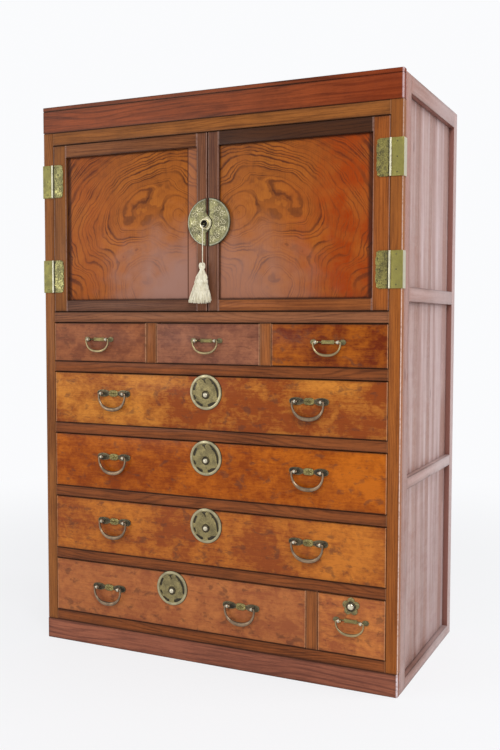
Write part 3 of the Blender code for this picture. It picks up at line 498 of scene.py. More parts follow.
height = times(ring_line, -0.25, height)
feed(result, {"Color": base, "Height": height})

# Age: dirt and painted shade kept in the corners, dirt in the level joints, pale rubbed upright arrises with a
# painted highlight, dull marks and dents
age_group, given, result = new_group("old_finish", [("Color", "Color", (0.5, 0.2, 0.06, 1)),
        ("Grime And Shade", "Float", 0.3), ("Joint Line", "Float", 0.7), ("Wear And Highlight", "Float", 0.5),
        ("Wear And Highlight Color", "Color", (0.45, 0.24, 0.12, 1)), ("Wear And Highlight Side", "Float", 0.0),
        ("Wear And Highlight Width", "Float", 1.0), ("Haze", "Float", 0.2)],
        [("Color", "Color"), ("Roughness", "Float"), ("Height", "Float")])
object_place = where("Object")
edge = put("ShaderNodeGroup", node_tree=edge_group).outputs
patch = cloud(object_place, 26.0, 4.0, 0.6)
nick = cloud(object_place, 210.0, 2.0, 0.5)
# Darker near the board's edges: dirt and painted shade.
near = step(times(patch, 0.008, edge["Nearest"]), 0.0145, 0.0035)
colour = tint(times(near, given["Grime And Shade"]), given["Color"], (0.045, 0.02, 0.012, 1))
line = times(step(edge["Level"], 0.0022, 0.0008), given["Joint Line"])
colour = tint(line, colour, (0.03, 0.013, 0.008, 1))
# Pale upright arrises, on one side only if so set: wear with a painted highlight.
wear_and_highlight = step(reckon("DIVIDE", edge["Upright"], given["Wear And Highlight Width"]), 0.0026, 0.001)
wear_and_highlight = times(wear_and_highlight, step(nick, 0.34, 0.5, 0.55, 1.0))
spot_x = axes(layer("spot"))["X"]
wear_and_highlight = times(wear_and_highlight, step(times(spot_x, given["Wear And Highlight Side"]), -0.004, -0.001))
wear_and_highlight = times(wear_and_highlight, given["Wear And Highlight"])
colour = tint(wear_and_highlight, colour, given["Wear And Highlight Color"])
smear = cloud(stretch(object_place, 1.0, 1.0, 2.5), 9.0, 5.0, 0.65)
haze = times(step(smear, 0.42, 0.7), given["Haze"])
rough = times(haze, 0.35, 0.3)
rough = times(wear_and_highlight, 0.25, rough)
scratch = cloud(stretch(object_place, 45.0, 45.0, 900.0), 1.0, 2.0, 0.7)
dent = times(step(nick, 0.66, 0.74), -1.0, times(scratch, 0.2))
feed(result, {"Color": colour, "Roughness": rough, "Height": dent})


def aged(surface, colour, height, age, coat=0.05, bump=0.0005):
    """The old lacquer over a coloured wood."""
    finish = put("ShaderNodeGroup", {"Color": colour, **age}, node_tree=age_group).outputs
    relief = put("ShaderNodeBump", {"Height": reckon("ADD", height, finish["Height"]), "Distance": bump,
                                    "Strength": 0.55}).outputs[0]
    feed(surface, {"Base Color": finish["Color"], "Roughness": finish["Roughness"], "Normal": relief,
                   "Coat Weight": coat, "Coat Roughness": 0.2, "Specular IOR Level": 0.06})


def wood(name, grain, age, *finish):
    """A lacquered wood: board grain under an aged finish."""
    material, surface = new_finish(name)
    figure = put("ShaderNodeGroup", grain, node_tree=grain_group, name="grain").outputs
    aged(surface, figure["Color"], figure["Height"], age, *finish)
    return material


def board_kind(pale, deep, spacing, lines, streaks, mottle, size, drawn=0.4, flecks=0.2, pores=0.35):
    """The settings of one kind of board."""
    return {"Pale": (*pale, 1), "Deep": (*deep, 1), "Line Spacing": spacing, "Lines": lines, "Streaks": streaks,
            "Flecks": flecks, "Mottle": mottle, "Mottle Size": size, "Mottle Stretch": drawn, "Pores": pores}


RAIL_AGE = {"Grime And Shade": 0.3, "Joint Line": 0.75, "Wear And Highlight": 0.35, "Wear And Highlight Color": (0.42, 0.2, 0.1, 1), "Haze": 0.3}
rail_wood = wood("rail_wood", board_kind((0.31, 0.09, 0.025), (0.11, 0.032, 0.012), 0.0052, 0.4, 0.45, 0.5, 9.0),
                 RAIL_AGE)
floor_rail_wood = wood("compartment_rail_wood", board_kind((0.34, 0.13, 0.055), (0.13, 0.048, 0.025), 0.0052,
        0.35, 0.45, 0.5, 7.0), RAIL_AGE)
head_wood = wood("head_rail_wood", board_kind((0.36, 0.125, 0.028), (0.15, 0.05, 0.014), 0.0052, 0.35, 0.45, 0.5,
        7.0), RAIL_AGE)
# The frieze and the plinth have a pale right-hand upright arris: wear with a painted highlight.
FRIEZE_AGE = {**RAIL_AGE, "Wear And Highlight": 1.0, "Wear And Highlight Side": 1.0, "Wear And Highlight Width": 1.7,
              "Wear And Highlight Color": (0.76, 0.64, 0.66, 1)}
frieze_wood = wood("frieze_wood", board_kind((0.305, 0.066, 0.019), (0.1, 0.022, 0.009), 0.0105, 0.5, 0.4, 0.55,
        9.0), FRIEZE_AGE)
along = axes(layer("spot"))["X"]
lay_over(step(along, 0.28, -0.05, 0.0, 0.07), (0.4, 0.23, 0.17, 1))
lay_over(step(along, 0.18, 0.44, 0.0, 0.45), (0.25, 0.034, 0.005, 1))
plinth_wood = wood("plinth_wood", board_kind((0.39, 0.135, 0.075), (0.17, 0.058, 0.038), 0.0085, 0.5, 0.45, 0.5,
        8.0), FRIEZE_AGE)
stile_wood = wood("divider_stile_wood", board_kind((0.4, 0.13, 0.036), (0.17, 0.055, 0.018), 0.0052, 0.35, 0.45,
        0.5, 7.0), RAIL_AGE)
# The side's pale pinkish grey is partly worn lacquer and partly a painted sheen of grazing light.
SIDE_AGE = {"Grime And Shade": 0.3, "Joint Line": 0.5, "Wear And Highlight": 0.5, "Wear And Highlight Color": (0.6, 0.42, 0.36, 1), "Haze": 0.7}
side_wood = wood("side_wood", board_kind((0.465, 0.318, 0.292), (0.27, 0.138, 0.11), 0.021, 0.05, 0.12, 1.0,
        12.0, 0.05, 0.12, 0.35), SIDE_AGE, 0.06, 0.0008)
place = layer("grain")
knot = put("ShaderNodeTexVoronoi", {"Vector": stretch(place, 9.0, 26.0, 26.0), "Scale": 1.0}).outputs
chance = put("ShaderNodeSeparateColor", {0: knot["Color"]}).outputs[0]
speck = times(step(knot["Distance"], 0.17, 0.09), step(chance, 0.55, 0.6))
lay_over(times(speck, 0.7), (0.1, 0.05, 0.042, 1))
turned_x, turned_y, turned_z = axes(where("Normal"))
# Faces turned forward or down, in the recess at the back post and under the rails, are a darker red-brown:
# painted shade.
shaded_faces = reckon("MAXIMUM", step(turned_y, -0.5, -0.9), step(turned_z, -0.5, -0.9))
from_middle, depth, level = axes(where("Object"))
lay_over(step(depth, -0.08, 0.14, 0.0, 0.4), (0.56, 0.44, 0.44, 1))
lay_over(times(step(depth, -0.13, -0.205), step(level, 0.4, 1.25, 0.15, 0.8)), (0.38, 0.2, 0.165, 1))
lay_over(times(shaded_faces, 0.85), (0.23, 0.085, 0.06, 1))
lay_over(step(times(from_middle, turned_x), -0.1, -0.3, 0.0, 0.7), (0.46, 0.32, 0.19, 1))
side_board_wood = side_wood.copy()
side_board_wood.name = "side_board_wood"
tree = side_board_wood.node_tree
place = layer("spot")
sway = cloud(stretch(place, 1.0, 1.0, 0.35), 5.0, 2.0, 0.5)
across = times(sway, 0.06, axes(place)["Y"])
joint_side = step(reckon("ABSOLUTE", reckon("SUBTRACT", across, 0.08)), 0.028, 0.012)
warm = reckon("MAXIMUM", step(across, -0.055, -0.09), joint_side)
warm = times(warm, step(cloud(place, 3.0, 2.0, 0.5), 0.4, 0.6, 0.3, 0.75))
planed = cloud(stretch(place, 19.0, 19.0, 0.8), 1.0, 4.0, 0.68, 0.8)
lay_over(step(planed, 0.5, 0.36, 0.0, 0.45), (0.64, 0.53, 0.55, 1))
lay_over(step(planed, 0.5, 0.66, 0.0, 0.55), (0.24, 0.12, 0.098, 1))
lay_over(warm, (0.35, 0.19, 0.15, 1))
# Both posts are pale on their outer upright arris, the right one much more: wear with a painted highlight.
POST_AGE = {"Grime And Shade": 0.18, "Joint Line": 0.3, "Wear And Highlight": 0.75, "Wear And Highlight Color": (0.7, 0.5, 0.42, 1), "Haze": 0.3}
post_woods = {side: wood(f"{side}_post_wood", board_kind(pale, deep, 0.0048, 0.35, 0.5, 0.5, 9.0, 0.25),
                         {**POST_AGE, "Wear And Highlight": wear_and_highlight_amount, "Wear And Highlight Side": outer_side})
              for side, outer_side, wear_and_highlight_amount, pale, deep in (
                  ("left", -1.0, 0.2, (0.35, 0.125, 0.033), (0.14, 0.045, 0.015)),
                  ("right", 1.0, 1.0, (0.45, 0.14, 0.026), (0.2, 0.055, 0.013)))}
lay_over(step(axes(where("Object"))["Z"], 0.7, 1.15, 0.0, 0.45), (0.215, 0.08, 0.022, 1))
INNER_GRAIN = board_kind((0.56, 0.4, 0.24), (0.38, 0.24, 0.125), 0.007, 0.45, 0.4, 0.3, 6.0)
INNER_AGE = {"Grime And Shade": 0.3, "Joint Line": 0.4, "Wear And Highlight": 0.2, "Wear And Highlight Color": (0.62, 0.48, 0.33, 1), "Haze": 0.9}
inner_wood = wood("inner_wood", INNER_GRAIN, INNER_AGE, 0.0, 0.0006)

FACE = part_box("door_head_rail")[0].y
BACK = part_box("back_panel")[1].y
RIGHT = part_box("frieze_board")[1].x
JOINT = 0.0003


# The two side frames: a facing board and a post at the front, a post at the back and
# four rails let in between them, with thin upright boards behind the rails. The same
# dark lacquer as the front is a pinkish grey on the outside: partly worn, partly a painted sheen of grazing
# light.
POST = 0.027
FACING = 0.018
FRONT_POST = 0.056
BACK_POST = 0.03
RAIL_SKIN = 0.013
SIDE_RAILS = ((0.0, 0.025), (0.4385, 0.464), (0.8414, 0.8734))
TOP_RAIL = 0.038
PANEL_JOINTS = (0.173, 0.288)
plinth_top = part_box("plinth_board")[1].z
frieze_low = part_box("frieze_board")[0].z
for side_name, side in (("left", -1), ("right", 1)):
    frame_low, frame_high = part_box(f"{side_name}_side_frame")
    panel_low, panel_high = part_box(f"{side_name}_side_panel")
    outer = frame_low.x if side < 0 else frame_high.x
    side_top = frame_high.z

    def across(near, far):
        """The x span between two depths in from the outside of this frame."""
        return tuple(sorted((outer - side * near, outer - side * far)))

    node = f"{side_name}_side_frame"
    facing_z = (plinth_top + JOINT, frieze_low - JOINT)
    board_piece(f"{side_name}_facing_board", post_woods[side_name], "side_wood", node,
                (across(0, POST), (FACE, FACE + FACING), facing_z, 2, 0.0012))
    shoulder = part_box("back_panel")[1].z
    front_y, back_y = (FACE + FACING + JOINT, FACE + FRONT_POST), (BACK - BACK_POST, BACK)
    rail_y = (FACE + FRONT_POST + JOINT, BACK - BACK_POST - JOINT)
    board_piece(f"{side_name}_posts_and_rails", side_wood, "side_wood", node,
                (across(0, RAIL_SKIN), front_y, (0, side_top), 2, 0.0012),
                (across(RAIL_SKIN, POST), front_y, (0, shoulder), 2),
                (across(0, RAIL_SKIN), back_y, (0, side_top), 2, 0.0016),
                (across(RAIL_SKIN, POST), back_y, (0, shoulder), 2),
                *((across(0, RAIL_SKIN), rail_y, rail_z, 1, 0.0012)
                  for rail_z in (*SIDE_RAILS, (side_top - TOP_RAIL, side_top))))
    cuts = [panel_low.y, *(FACE + joint for joint in PANEL_JOINTS), panel_high.y]
    board_piece(f"{side_name}_side_boards", side_board_wood, "side_wood", f"{side_name}_side_panel",
                *(((panel_low.x, panel_high.x), (near, far - JOINT), (panel_low.z, panel_high.z), 2)
                  for near, far in zip(cuts, cuts[1:])))


# The rest of the case: red-brown frieze and plinth boards across the whole front, the
# top with its thin front lip, the back of five boards, and rails that each carry a
# thin floor board, with stiles and partitions between the drawers.
for name, board_wood in (("plinth_board", plinth_wood), ("frieze_board", frieze_wood)):
    board_piece(f"{name}_oiled", board_wood, "frieze_wood", name, (*spans(*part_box(name)), 0, 0.0016))

low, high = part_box("top_board")
lip_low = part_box("frieze_board")[1].z + JOINT
TOP_BOARD = 0.012
body_half = RIGHT - RAIL_SKIN - JOINT
cuts = [FACE + FACING + JOINT, FACE + 0.17, FACE + 0.33, BACK]
board_piece("top_boards", frieze_wood, "frieze_wood", "top_board",
            ((low.x, high.x), (low.y, FACE + FACING), (lip_low, high.z), 0, 0.0014),
            *(((-body_half, body_half), (near, far - JOINT), (low.z, low.z + TOP_BOARD), 0)
              for near, far in zip(cuts, cuts[1:])))

board_piece("head_rail", head_wood, "rail_wood", "door_head_rail", (*spans(*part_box("door_head_rail")), 0))

low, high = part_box("back_panel")
BACK_BOARDS = 5
width = (high.x - low.x) / BACK_BOARDS
board_piece("back_boards", inner_wood, "inner_wood", "back_panel",
            *(((low.x + index * width, low.x + (index + 1) * width - JOINT), (low.y, high.y), (low.z, high.z),
               2) for index in range(BACK_BOARDS)))

FLOOR_BOARD = 0.008
RAIL_DEPTH = 0.024
FLOORS = ("bottom_board", "lower_drawer_floor", "middle_drawer_floor", "upper_drawer_floor",
          "small_drawer_floor", "compartment_floor")
for name in FLOORS:
    low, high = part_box(name)
    board_piece(f"{name}_rail", floor_rail_wood if name == "compartment_floor" else rail_wood, "rail_wood", name,
                ((low.x, high.x), (low.y, low.y + RAIL_DEPTH), (low.z, high.z), 0))
    cuts = [low.y + RAIL_DEPTH + JOINT, low.y + 0.16, low.y + 0.31, high.y]
    board_piece(f"{name}_boards", inner_wood, "rail_wood", name,
                *(((low.x, high.x), (near, far - JOINT), (high.z - FLOOR_BOARD, high.z), 0)
                  for near, far in zip(cuts, cuts[1:])))

PARTITION = 0.01
GUIDE_HEIGHT = 0.01
for name, rail_above in (("small_divider_left", "compartment_floor"),
        ("small_divider_right", "compartment_floor"), ("bottom_divider", "lower_drawer_floor")):
    low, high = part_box(name)
    middle = (low.x + high.x) / 2
    stile_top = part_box(rail_above)[0].z - JOINT
    board_piece(f"{name}_stile", stile_wood, "rail_wood", name,
                ((low.x, high.x), (low.y, low.y + RAIL_DEPTH), (low.z, stile_top), 2))
    run, guide_z = (low.y + RAIL_DEPTH + JOINT, high.y), (low.z, low.z + GUIDE_HEIGHT)
    board_piece(f"{name}_partition", inner_wood, "rail_wood", name,
                ((middle - PARTITION / 2, middle + PARTITION / 2), run, (low.z, high.z), 1),
                ((low.x, middle - PARTITION / 2 - JOINT), run, guide_z, 1),
                ((middle + PARTITION / 2 + JOINT, high.x), run, guide_z, 1))


# The doors: stiles and rails of dark wood round a thin panel set back in a groove.
# Both panels are cut from one figured plank and opened like a book, so their rings
# mirror each other across the gap.
HINGE_STILE = 0.0365
MEETING_STILE = 0.0255
DOOR_TOP = 0.03
DOOR_FOOT = 0.0265
DOOR_AGE = {**RAIL_AGE, "Wear And Highlight": 0.5, "Wear And Highlight Color": (0.4, 0.24, 0.19, 1)}
DOOR_WOODS = {name: wood(f"{name}_wood", board_kind(pale, deep, 0.0052, 0.35, 0.5, 0.6, 6.0, 0.3), DOOR_AGE)
              for name, pale, deep in (("left_hinge_stile", (0.33, 0.12, 0.03), (0.13, 0.045, 0.016)),
                                       ("left_meeting_stile", (0.27, 0.105, 0.048), (0.1, 0.038, 0.022)),
                                       ("left_top_rail", (0.29, 0.105, 0.036), (0.12, 0.04, 0.016)),
                                       ("left_foot_rail", (0.19, 0.082, 0.045), (0.085, 0.034, 0.022)),
                                       ("right_hinge_stile", (0.4, 0.115, 0.022), (0.17, 0.045, 0.011)),
                                       ("right_meeting_stile", (0.27, 0.112, 0.056), (0.1, 0.04, 0.026)),
                                       ("right_top_rail", (0.08, 0.029, 0.012), (0.036, 0.014, 0.008)),
                                       ("right_foot_rail", (0.38, 0.12, 0.03), (0.18, 0.052, 0.016)))}
figure_group, given, result = new_group("opened_figure",
        [("Mirror", "Float", 1.0), ("Glued Strip", "Float", 0.0), ("Painted Reflection", "Float", 0.6),
         ("Ember", "Float", 1.0)], [("Color", "Color"), ("Height", "Float")])
share = axes(put("ShaderNodeVectorMath", {0: layer("spot"), 1: layer("half")}, operation="DIVIDE").outputs[0])
from_gap = times(times(share["X"], given["Mirror"]), 0.5, 0.5)
from_foot = times(share["Z"], 0.5, 0.5)
flat = put("ShaderNodeCombineXYZ", {0: from_gap, 1: from_foot}).outputs[0]
warp_a = cloud(flat, 2.3, 2.0, 0.5)
warp_b = cloud(flat, 7.5, 3.0, 0.5)


def hill(x_share, z_share, x_scale, z_scale, slant=0.0):
    """The distance from one centre of the figure, whose rings may lean."""
    dx = times(reckon("SUBTRACT", from_gap, x_share), x_scale)
    dz = times(reckon("SUBTRACT", from_foot, z_share), z_scale)
    dx = times(dz, slant, dx)
    return reckon("SQRT", reckon("ADD", times(dx, dx), times(dz, dz)))


first_eye = hill(0.14, 0.56, 1.0, 1.05)
second_eye = reckon("SMOOTH_MAX", hill(0.37, 0.62, 0.85, 1.1, 0.45), 0.15, 0.05)
low_hill = reckon("ADD", reckon("SMOOTH_MAX", hill(0.4, 0.1, 1.05, 0.85), 0.08, 0.05), 0.07)
field = reckon("SMOOTH_MIN", first_eye, second_eye, 0.07)
field = reckon("SMOOTH_MIN", field, low_hill, 0.13)
warp_c = cloud(flat, 21.0, 2.0, 0.5)
field = times(warp_a, 0.2, field)
field = times(warp_b, 0.055, field)
field = times(warp_c, 0.012, field)
band = cloud(put("ShaderNodeCombineXYZ", {0: field}).outputs[0], 9.0, 3.0, 0.6)
phase = times(band, 8.0, times(field, 30.0))
wave = reckon("SINE", times(phase, 2 * math.pi))
ring = step(wave, 0.45, 1.0)
ring_shadow = step(wave, -0.8, 0.9)
close_ring = step(reckon("SINE", times(field, 2 * math.pi * 68.0)), 0.0, 0.95)
strong = step(cloud(flat, 3.6, 3.0, 0.6), 0.38, 0.6)
crowded = step(cloud(flat, 4.6, 2.0, 0.5, 0.5), 0.5, 0.62)
dark_share = times(ring, times(strong, 0.44, 0.2))
dark_share = times(ring_shadow, 0.1, dark_share)
dark_share = times(times(close_ring, crowded), 0.3, dark_share)
# Darker towards the top of the panel: painted shade.
dark_share = reckon("ADD", dark_share, step(from_foot, 0.55, 1.0, 0.0, 0.28))
blotch = cloud(flat, 9.0, 4.0, 0.62, 0.6)
dark_share = times(step(blotch, 0.42, 0.68), 0.26, dark_share, clamp=True)
figure_colour = tint(dark_share, (0.39, 0.112, 0.017, 1), (0.105, 0.029, 0.01, 1))
golden = times(step(wave, -0.2, -1.0, 0.0, 0.4), strong)
figure_colour = tint(golden, figure_colour, (0.47, 0.15, 0.02, 1))
ember = times(step(cloud(flat, 4.3, 4.0, 0.6), 0.36, 0.62, 0.35, 1.0), step(from_gap, 0.3, 0.85, 0.0, 0.97))
ember = times(ember, times(dark_share, -0.7, 1.0))
figure_colour = tint(times(ember, given["Ember"]), figure_colour, (0.32, 0.034, 0.001, 1))
fibre = cloud(stretch(flat, 170.0, 10.0, 1.0), 1.0, 4.0, 0.65)
figure_colour = tint(times(step(fibre, 0.45, 0.7), 0.26), figure_colour, (0.1, 0.028, 0.012, 1))
# A soft pinkish patch low by the gap: a painted reflection in the lacquer.
reflection_reach = times(warp_b, 0.5, hill(0.0, 0.0, 0.85, 1.15))
painted_reflection = times(step(reflection_reach, 1.02, 0.4), given["Painted Reflection"])
painted_reflection = times(painted_reflection, step(from_gap, 1.0, 0.6, 0.3, 1.0))
figure_colour = tint(painted_reflection, figure_colour, (0.35, 0.18, 0.135, 1))
seam = step(reckon("ABSOLUTE", reckon("SUBTRACT", from_gap, 0.085)), 0.0055, 0.0015)
strip = step(from_gap, 0.088, 0.082, 0.0, 0.35)
# Dark along the edges in the groove and in a band by the hinge stile: painted shadow of the frame on the sunken
# panel.
in_groove = put("ShaderNodeGroup", node_tree=edge_group).outputs["Nearest"]
frame_shadow = step(times(warp_c, 0.003, in_groove), 0.0125, 0.008, 0.0, 0.75)
frame_shadow = reckon("MAXIMUM", frame_shadow, step(from_gap, 0.945, 0.964, 0.0, 0.8))
figure_colour = tint(frame_shadow, figure_colour, (0.032, 0.013, 0.009, 1))
figure_colour = tint(times(strip, given["Glued Strip"]), figure_colour, (0.42, 0.19, 0.12, 1))
figure_colour = tint(times(seam, given["Glued Strip"]), figure_colour, (0.1, 0.032, 0.016, 1))
feed(result, {"Color": figure_colour, "Height": times(dark_share, -0.6)})
PANEL_AGE = {"Grime And Shade": 0.5, "Joint Line": 0.6, "Wear And Highlight": 0.0, "Haze": 0.3}

for side_name, side, painted_reflection, ember in (("left", -1, 1.0, 0.35), ("right", 1, 0.6, 1.0)):
    low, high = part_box(f"{side_name}_door_frame")
    gap_edge, hinge_edge = (high.x, low.x) if side < 0 else (low.x, high.x)
    body = f"{side_name}_door"
    y_span = (low.y, high.y)
    rail_x = tuple(sorted((hinge_edge - side * (HINGE_STILE + JOINT),
                           gap_edge + side * (MEETING_STILE + JOINT))))
    for part, x_span, z_span, along in (("hinge_stile", sorted((hinge_edge, hinge_edge - side * HINGE_STILE)),
            (low.z, high.z), 2), ("meeting_stile", sorted((gap_edge, gap_edge + side * MEETING_STILE)),
            (low.z, high.z), 2), ("foot_rail", rail_x, (low.z, low.z + DOOR_FOOT), 0),
            ("top_rail", rail_x, (high.z - DOOR_TOP, high.z), 0)):
        board_piece(f"{side_name}_door_{part}", DOOR_WOODS[f"{side_name}_{part}"], "rail_wood",
                    f"{side_name}_door_frame", (x_span, y_span, z_span, along), body=body)

    material, surface = new_finish(f"{side_name}_panel_figure")
    figure = put("ShaderNodeGroup", {"Mirror": float(side), "Glued Strip": float(side < 0), "Painted Reflection": painted_reflection,
                                     "Ember": ember}, node_tree=figure_group).outputs
    aged(surface, figure["Color"], figure["Height"], PANEL_AGE, 0.06, 0.0003)
    board_piece(f"{side_name}_figured_panel", material, "panel_wood", f"{side_name}_door_panel",
                (*spans(*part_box(f"{side_name}_door_panel")), 2), body=body)


# The drawers: a thick lacquered front, flush with the posts, on a box of pale boards.
# The front's grain is soft and cloudy, and each front has its own tone.
DRAWER_FRONT = 0.018
WALL = 0.01
BOTTOM = 0.006
BOTTOM_LIFT = 0.003
SIDE_DROP = 0.006
RUN_GAP = 0.0015
LIFT = 0.001
FRONT_TONES = {
    "left_small_drawer": ((0.375, 0.128, 0.05), (0.195, 0.06, 0.029)),
    "centre_small_drawer": ((0.372, 0.142, 0.072), (0.195, 0.07, 0.043)),
    "right_small_drawer": ((0.42, 0.11, 0.009), (0.15, 0.022, 0.005)),
    "upper_drawer": ((0.6, 0.218, 0.033), (0.27, 0.058, 0.011)),
    "middle_drawer": ((0.53, 0.136, 0.01), (0.255, 0.047, 0.005)),
    "lower_drawer": ((0.57, 0.185, 0.028), (0.28, 0.065, 0.016)),
    "bottom_wide_drawer": ((0.52, 0.182, 0.056), (0.32, 0.094, 0.036)),
    "bottom_small_drawer": ((0.63, 0.222, 0.056), (0.34, 0.096, 0.035)),
}
# Clouds in each front: across and up as shares of its half size, radius in metres, and how much lighter
CLOUDS = {"left_small_drawer": ((0.5, 0.0, 0.03, -0.3), (0.7, -0.6, 0.025, 0.3), (-0.7, 0.4, 0.03, 0.2)),
          "centre_small_drawer": ((0.8, -0.6, 0.045, 0.6), (0.0, 0.5, 0.05, -0.3)),
          "right_small_drawer": ((-0.8, -0.6, 0.045, 0.7), (0.45, 0.1, 0.045, 0.6), (0.0, -0.7, 0.03, -0.4),
        (0.95, -0.2, 0.03, -0.5), (-0.4, 0.6, 0.05, -0.3)), "upper_drawer": ((-0.87, 0.35, 0.085, 0.7),
        (-0.68, -0.8, 0.07, 0.6), (-0.45, -0.8, 0.06, 0.5), (-0.88, -0.45, 0.02, -0.4),
        (-0.12, -0.5, 0.11, -0.7), (0.15, -0.4, 0.09, -0.5), (0.48, 0.8, 0.03, -0.6), (0.63, 0.7, 0.08, 0.7),
        (0.8, 0.4, 0.06, 0.6), (0.97, 0.8, 0.03, -0.8), (0.9, -0.3, 0.07, -0.6), (0.77, 0.0, 0.04, -0.4),
        (0.45, 0.0, 0.1, -0.4), (0.7, -0.7, 0.08, -0.5), (-0.38, 0.35, 0.11, 0.5)),
          "middle_drawer": ((-0.62, -0.8, 0.03, -0.7), (-0.35, -0.2, 0.09, -0.4), (0.38, 0.0, 0.09, 0.3),
        (0.85, 0.5, 0.1, 0.8), (0.9, -0.1, 0.07, 0.4), (0.2, 0.0, 0.1, -0.3), (-0.2, 0.3, 0.09, 0.2)),
          "lower_drawer": ((-0.92, 0.3, 0.04, -0.7), (-0.6, 0.7, 0.08, 0.6), (-0.2, 0.5, 0.07, -0.8),
        (-0.22, 0.05, 0.016, -0.9), (-0.3, -0.3, 0.013, -0.9), (-0.87, -0.6, 0.06, 0.6), (0.8, 0.0, 0.12, 0.9),
        (0.35, -0.3, 0.08, -0.3)), "bottom_wide_drawer": ((-0.9, -0.5, 0.07, 0.4), (0.9, -0.3, 0.018, -0.6),
        (0.3, 0.2, 0.1, 0.2)), "bottom_small_drawer": ((0.5, 0.2, 0.07, 0.5), (0.45, -0.75, 0.012, -0.6),
        (-0.8, -0.5, 0.05, -0.3)),}


def cloudy(marks, half):
    """How much deeper one front is coloured from place to place."""
    place = layer("spot")
    drift = put("ShaderNodeTexNoise", {"Vector": place, "Scale": 22.0, "Detail": 3.0}).outputs["Color"]
    place = put("ShaderNodeVectorMath", {0: drift, 1: (0.06, 0.0, 0.06), 2: place},
                operation="MULTIPLY_ADD").outputs[0]
    deeper = 0.13
    for across, up, radius, lighter in marks:
        centre = (across * half.x + 0.03, -half.y, up * half.z + 0.03)
        away = put("ShaderNodeVectorMath", {0: place, 1: centre}, operation="DISTANCE").outputs["Value"]
        deeper = reckon("ADD", deeper, step(away, radius * 1.3, radius * 0.15, 0.0, -0.52 * lighter))
    return deeper


FRONT_AGE = {"Grime And Shade": 0.22, "Joint Line": 0.75, "Wear And Highlight": 0.6, "Wear And Highlight Color": (0.62, 0.32, 0.17, 1),
             "Haze": 0.35}
DRAWER_FLOORS = {"small": ("small_drawer_floor", "compartment_floor"),
                 "upper": ("upper_drawer_floor", "small_drawer_floor"),
                 "middle": ("middle_drawer_floor", "upper_drawer_floor"),
                 "lower": ("lower_drawer_floor", "middle_drawer_floor"),
                 "bottom": ("bottom_board", "lower_drawer_floor")}
box_wood = wood("drawer_box_wood", INNER_GRAIN, INNER_AGE, 0.0, 0.0006)
for name, (pale, deep) in FRONT_TONES.items():
    row = "small" if name.endswith("small_drawer") and not name.startswith("bottom") else name.split("_")[0]
    floor_name, above_name = DRAWER_FLOORS[row]
    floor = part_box(floor_name)[1].z
    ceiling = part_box(above_name)[0].z - JOINT
    low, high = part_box(name)
    x_span = (low.x, high.x)
    front_wood = wood(f"{name}_front_wood", board_kind(pale, deep, 0.016, 0.1, 0.18, 0.8, 26.0, 0.8, 0.34, 0.3),
                      FRONT_AGE, 0.06)
    front_half = Vector(((high.x - low.x) / 2, DRAWER_FRONT / 2, (ceiling - RUN_GAP - floor - LIFT) / 2))
    feed(tree.nodes["grain"], {"Shift": cloudy(CLOUDS[name], front_half)})
    stain = cloud(stretch(layer("grain"), 34.0, 55.0, 55.0), 1.0, 4.0, 0.6, 0.4)
    lay_over(step(stain, 0.545, 0.68, 0.0, 0.55), (0.105, 0.04, 0.024, 1))
    board_piece(f"{name}_front", front_wood, "drawer_wood", name,
                (x_span, (FACE, FACE + DRAWER_FRONT), (floor + LIFT, ceiling - RUN_GAP), 0, 0.0012), body=name)
    foot, rim = floor + JOINT, ceiling - RUN_GAP - SIDE_DROP
    near = FACE + DRAWER_FRONT + JOINT / 3
    inner = (x_span[0] + WALL + JOINT / 3, x_span[1] - WALL - JOINT / 3)
    board_piece(f"{name}_box", box_wood, "drawer_wood", name,
                ((x_span[0], x_span[0] + WALL), (near, high.y), (foot, rim), 1),
                ((x_span[1] - WALL, x_span[1]), (near, high.y), (foot, rim), 1),
                (inner, (high.y - WALL, high.y), (foot, rim), 0),
                (inner, (near, high.y - WALL - JOINT / 3), (foot + BOTTOM_LIFT, foot + BOTTOM_LIFT + BOTTOM), 0),
                body=name)


# The hinges: two on each door, of engraved brass. The post leaf wraps round the arris of
# the post, the door leaf has a shaped outer edge, both are nailed, and a bright rubbed
# knuckle joins them round a pin.
brass_group, given, result = new_group(
    "aged_brass",
    [("Bright", "Color", (0.46, 0.38, 0.17, 1)), ("Dull", "Color", (0.16, 0.13, 0.07, 1)),
     ("Engraving", "Float", 0.7), ("Engraving Size", "Float", 300.0), ("Patina", "Float", 0.5)],
    [("Color", "Color"), ("Metal", "Float"), ("Roughness", "Float"), ("Height", "Float")])
metal_place = where("Object")
flat_place = stretch(metal_place, 1.0, 0.35, 1.0)
scroll = cloud(flat_place, given["Engraving Size"], 1.5, 0.5, 1.6)
scroll = reckon("SINE", times(scroll, 34.0))
cut_in = times(step(scroll, 0.1, 0.95), given["Engraving"])
punch = put("ShaderNodeTexVoronoi", {"Vector": flat_place, "Scale": times(given["Engraving Size"], 2.3)},
            feature="DISTANCE_TO_EDGE").outputs["Distance"]
dimple = times(step(punch, 0.12, 0.0), given["Engraving"])
tarnish = cloud(metal_place, 55.0, 4.0, 0.6)
spots = cloud(metal_place, 340.0, 3.0, 0.6)
dull = times(step(tarnish, 0.36, 0.66), given["Patina"])
dull = times(cut_in, 0.62, dull)
dull = times(dimple, 0.3, dull)
dull = reckon("ADD", dull, step(spots, 0.6, 0.74, 0.0, 0.45), clamp=True)
relief = times(spots, 0.25, times(dimple, -0.5, times(cut_in, -1.0)))
feed(result, {"Color": tint(dull, given["Bright"], given["Dull"]), "Metal": times(dull, -0.45, 0.95),
              "Roughness": times(dull, 0.28, 0.3), "Height": relief})


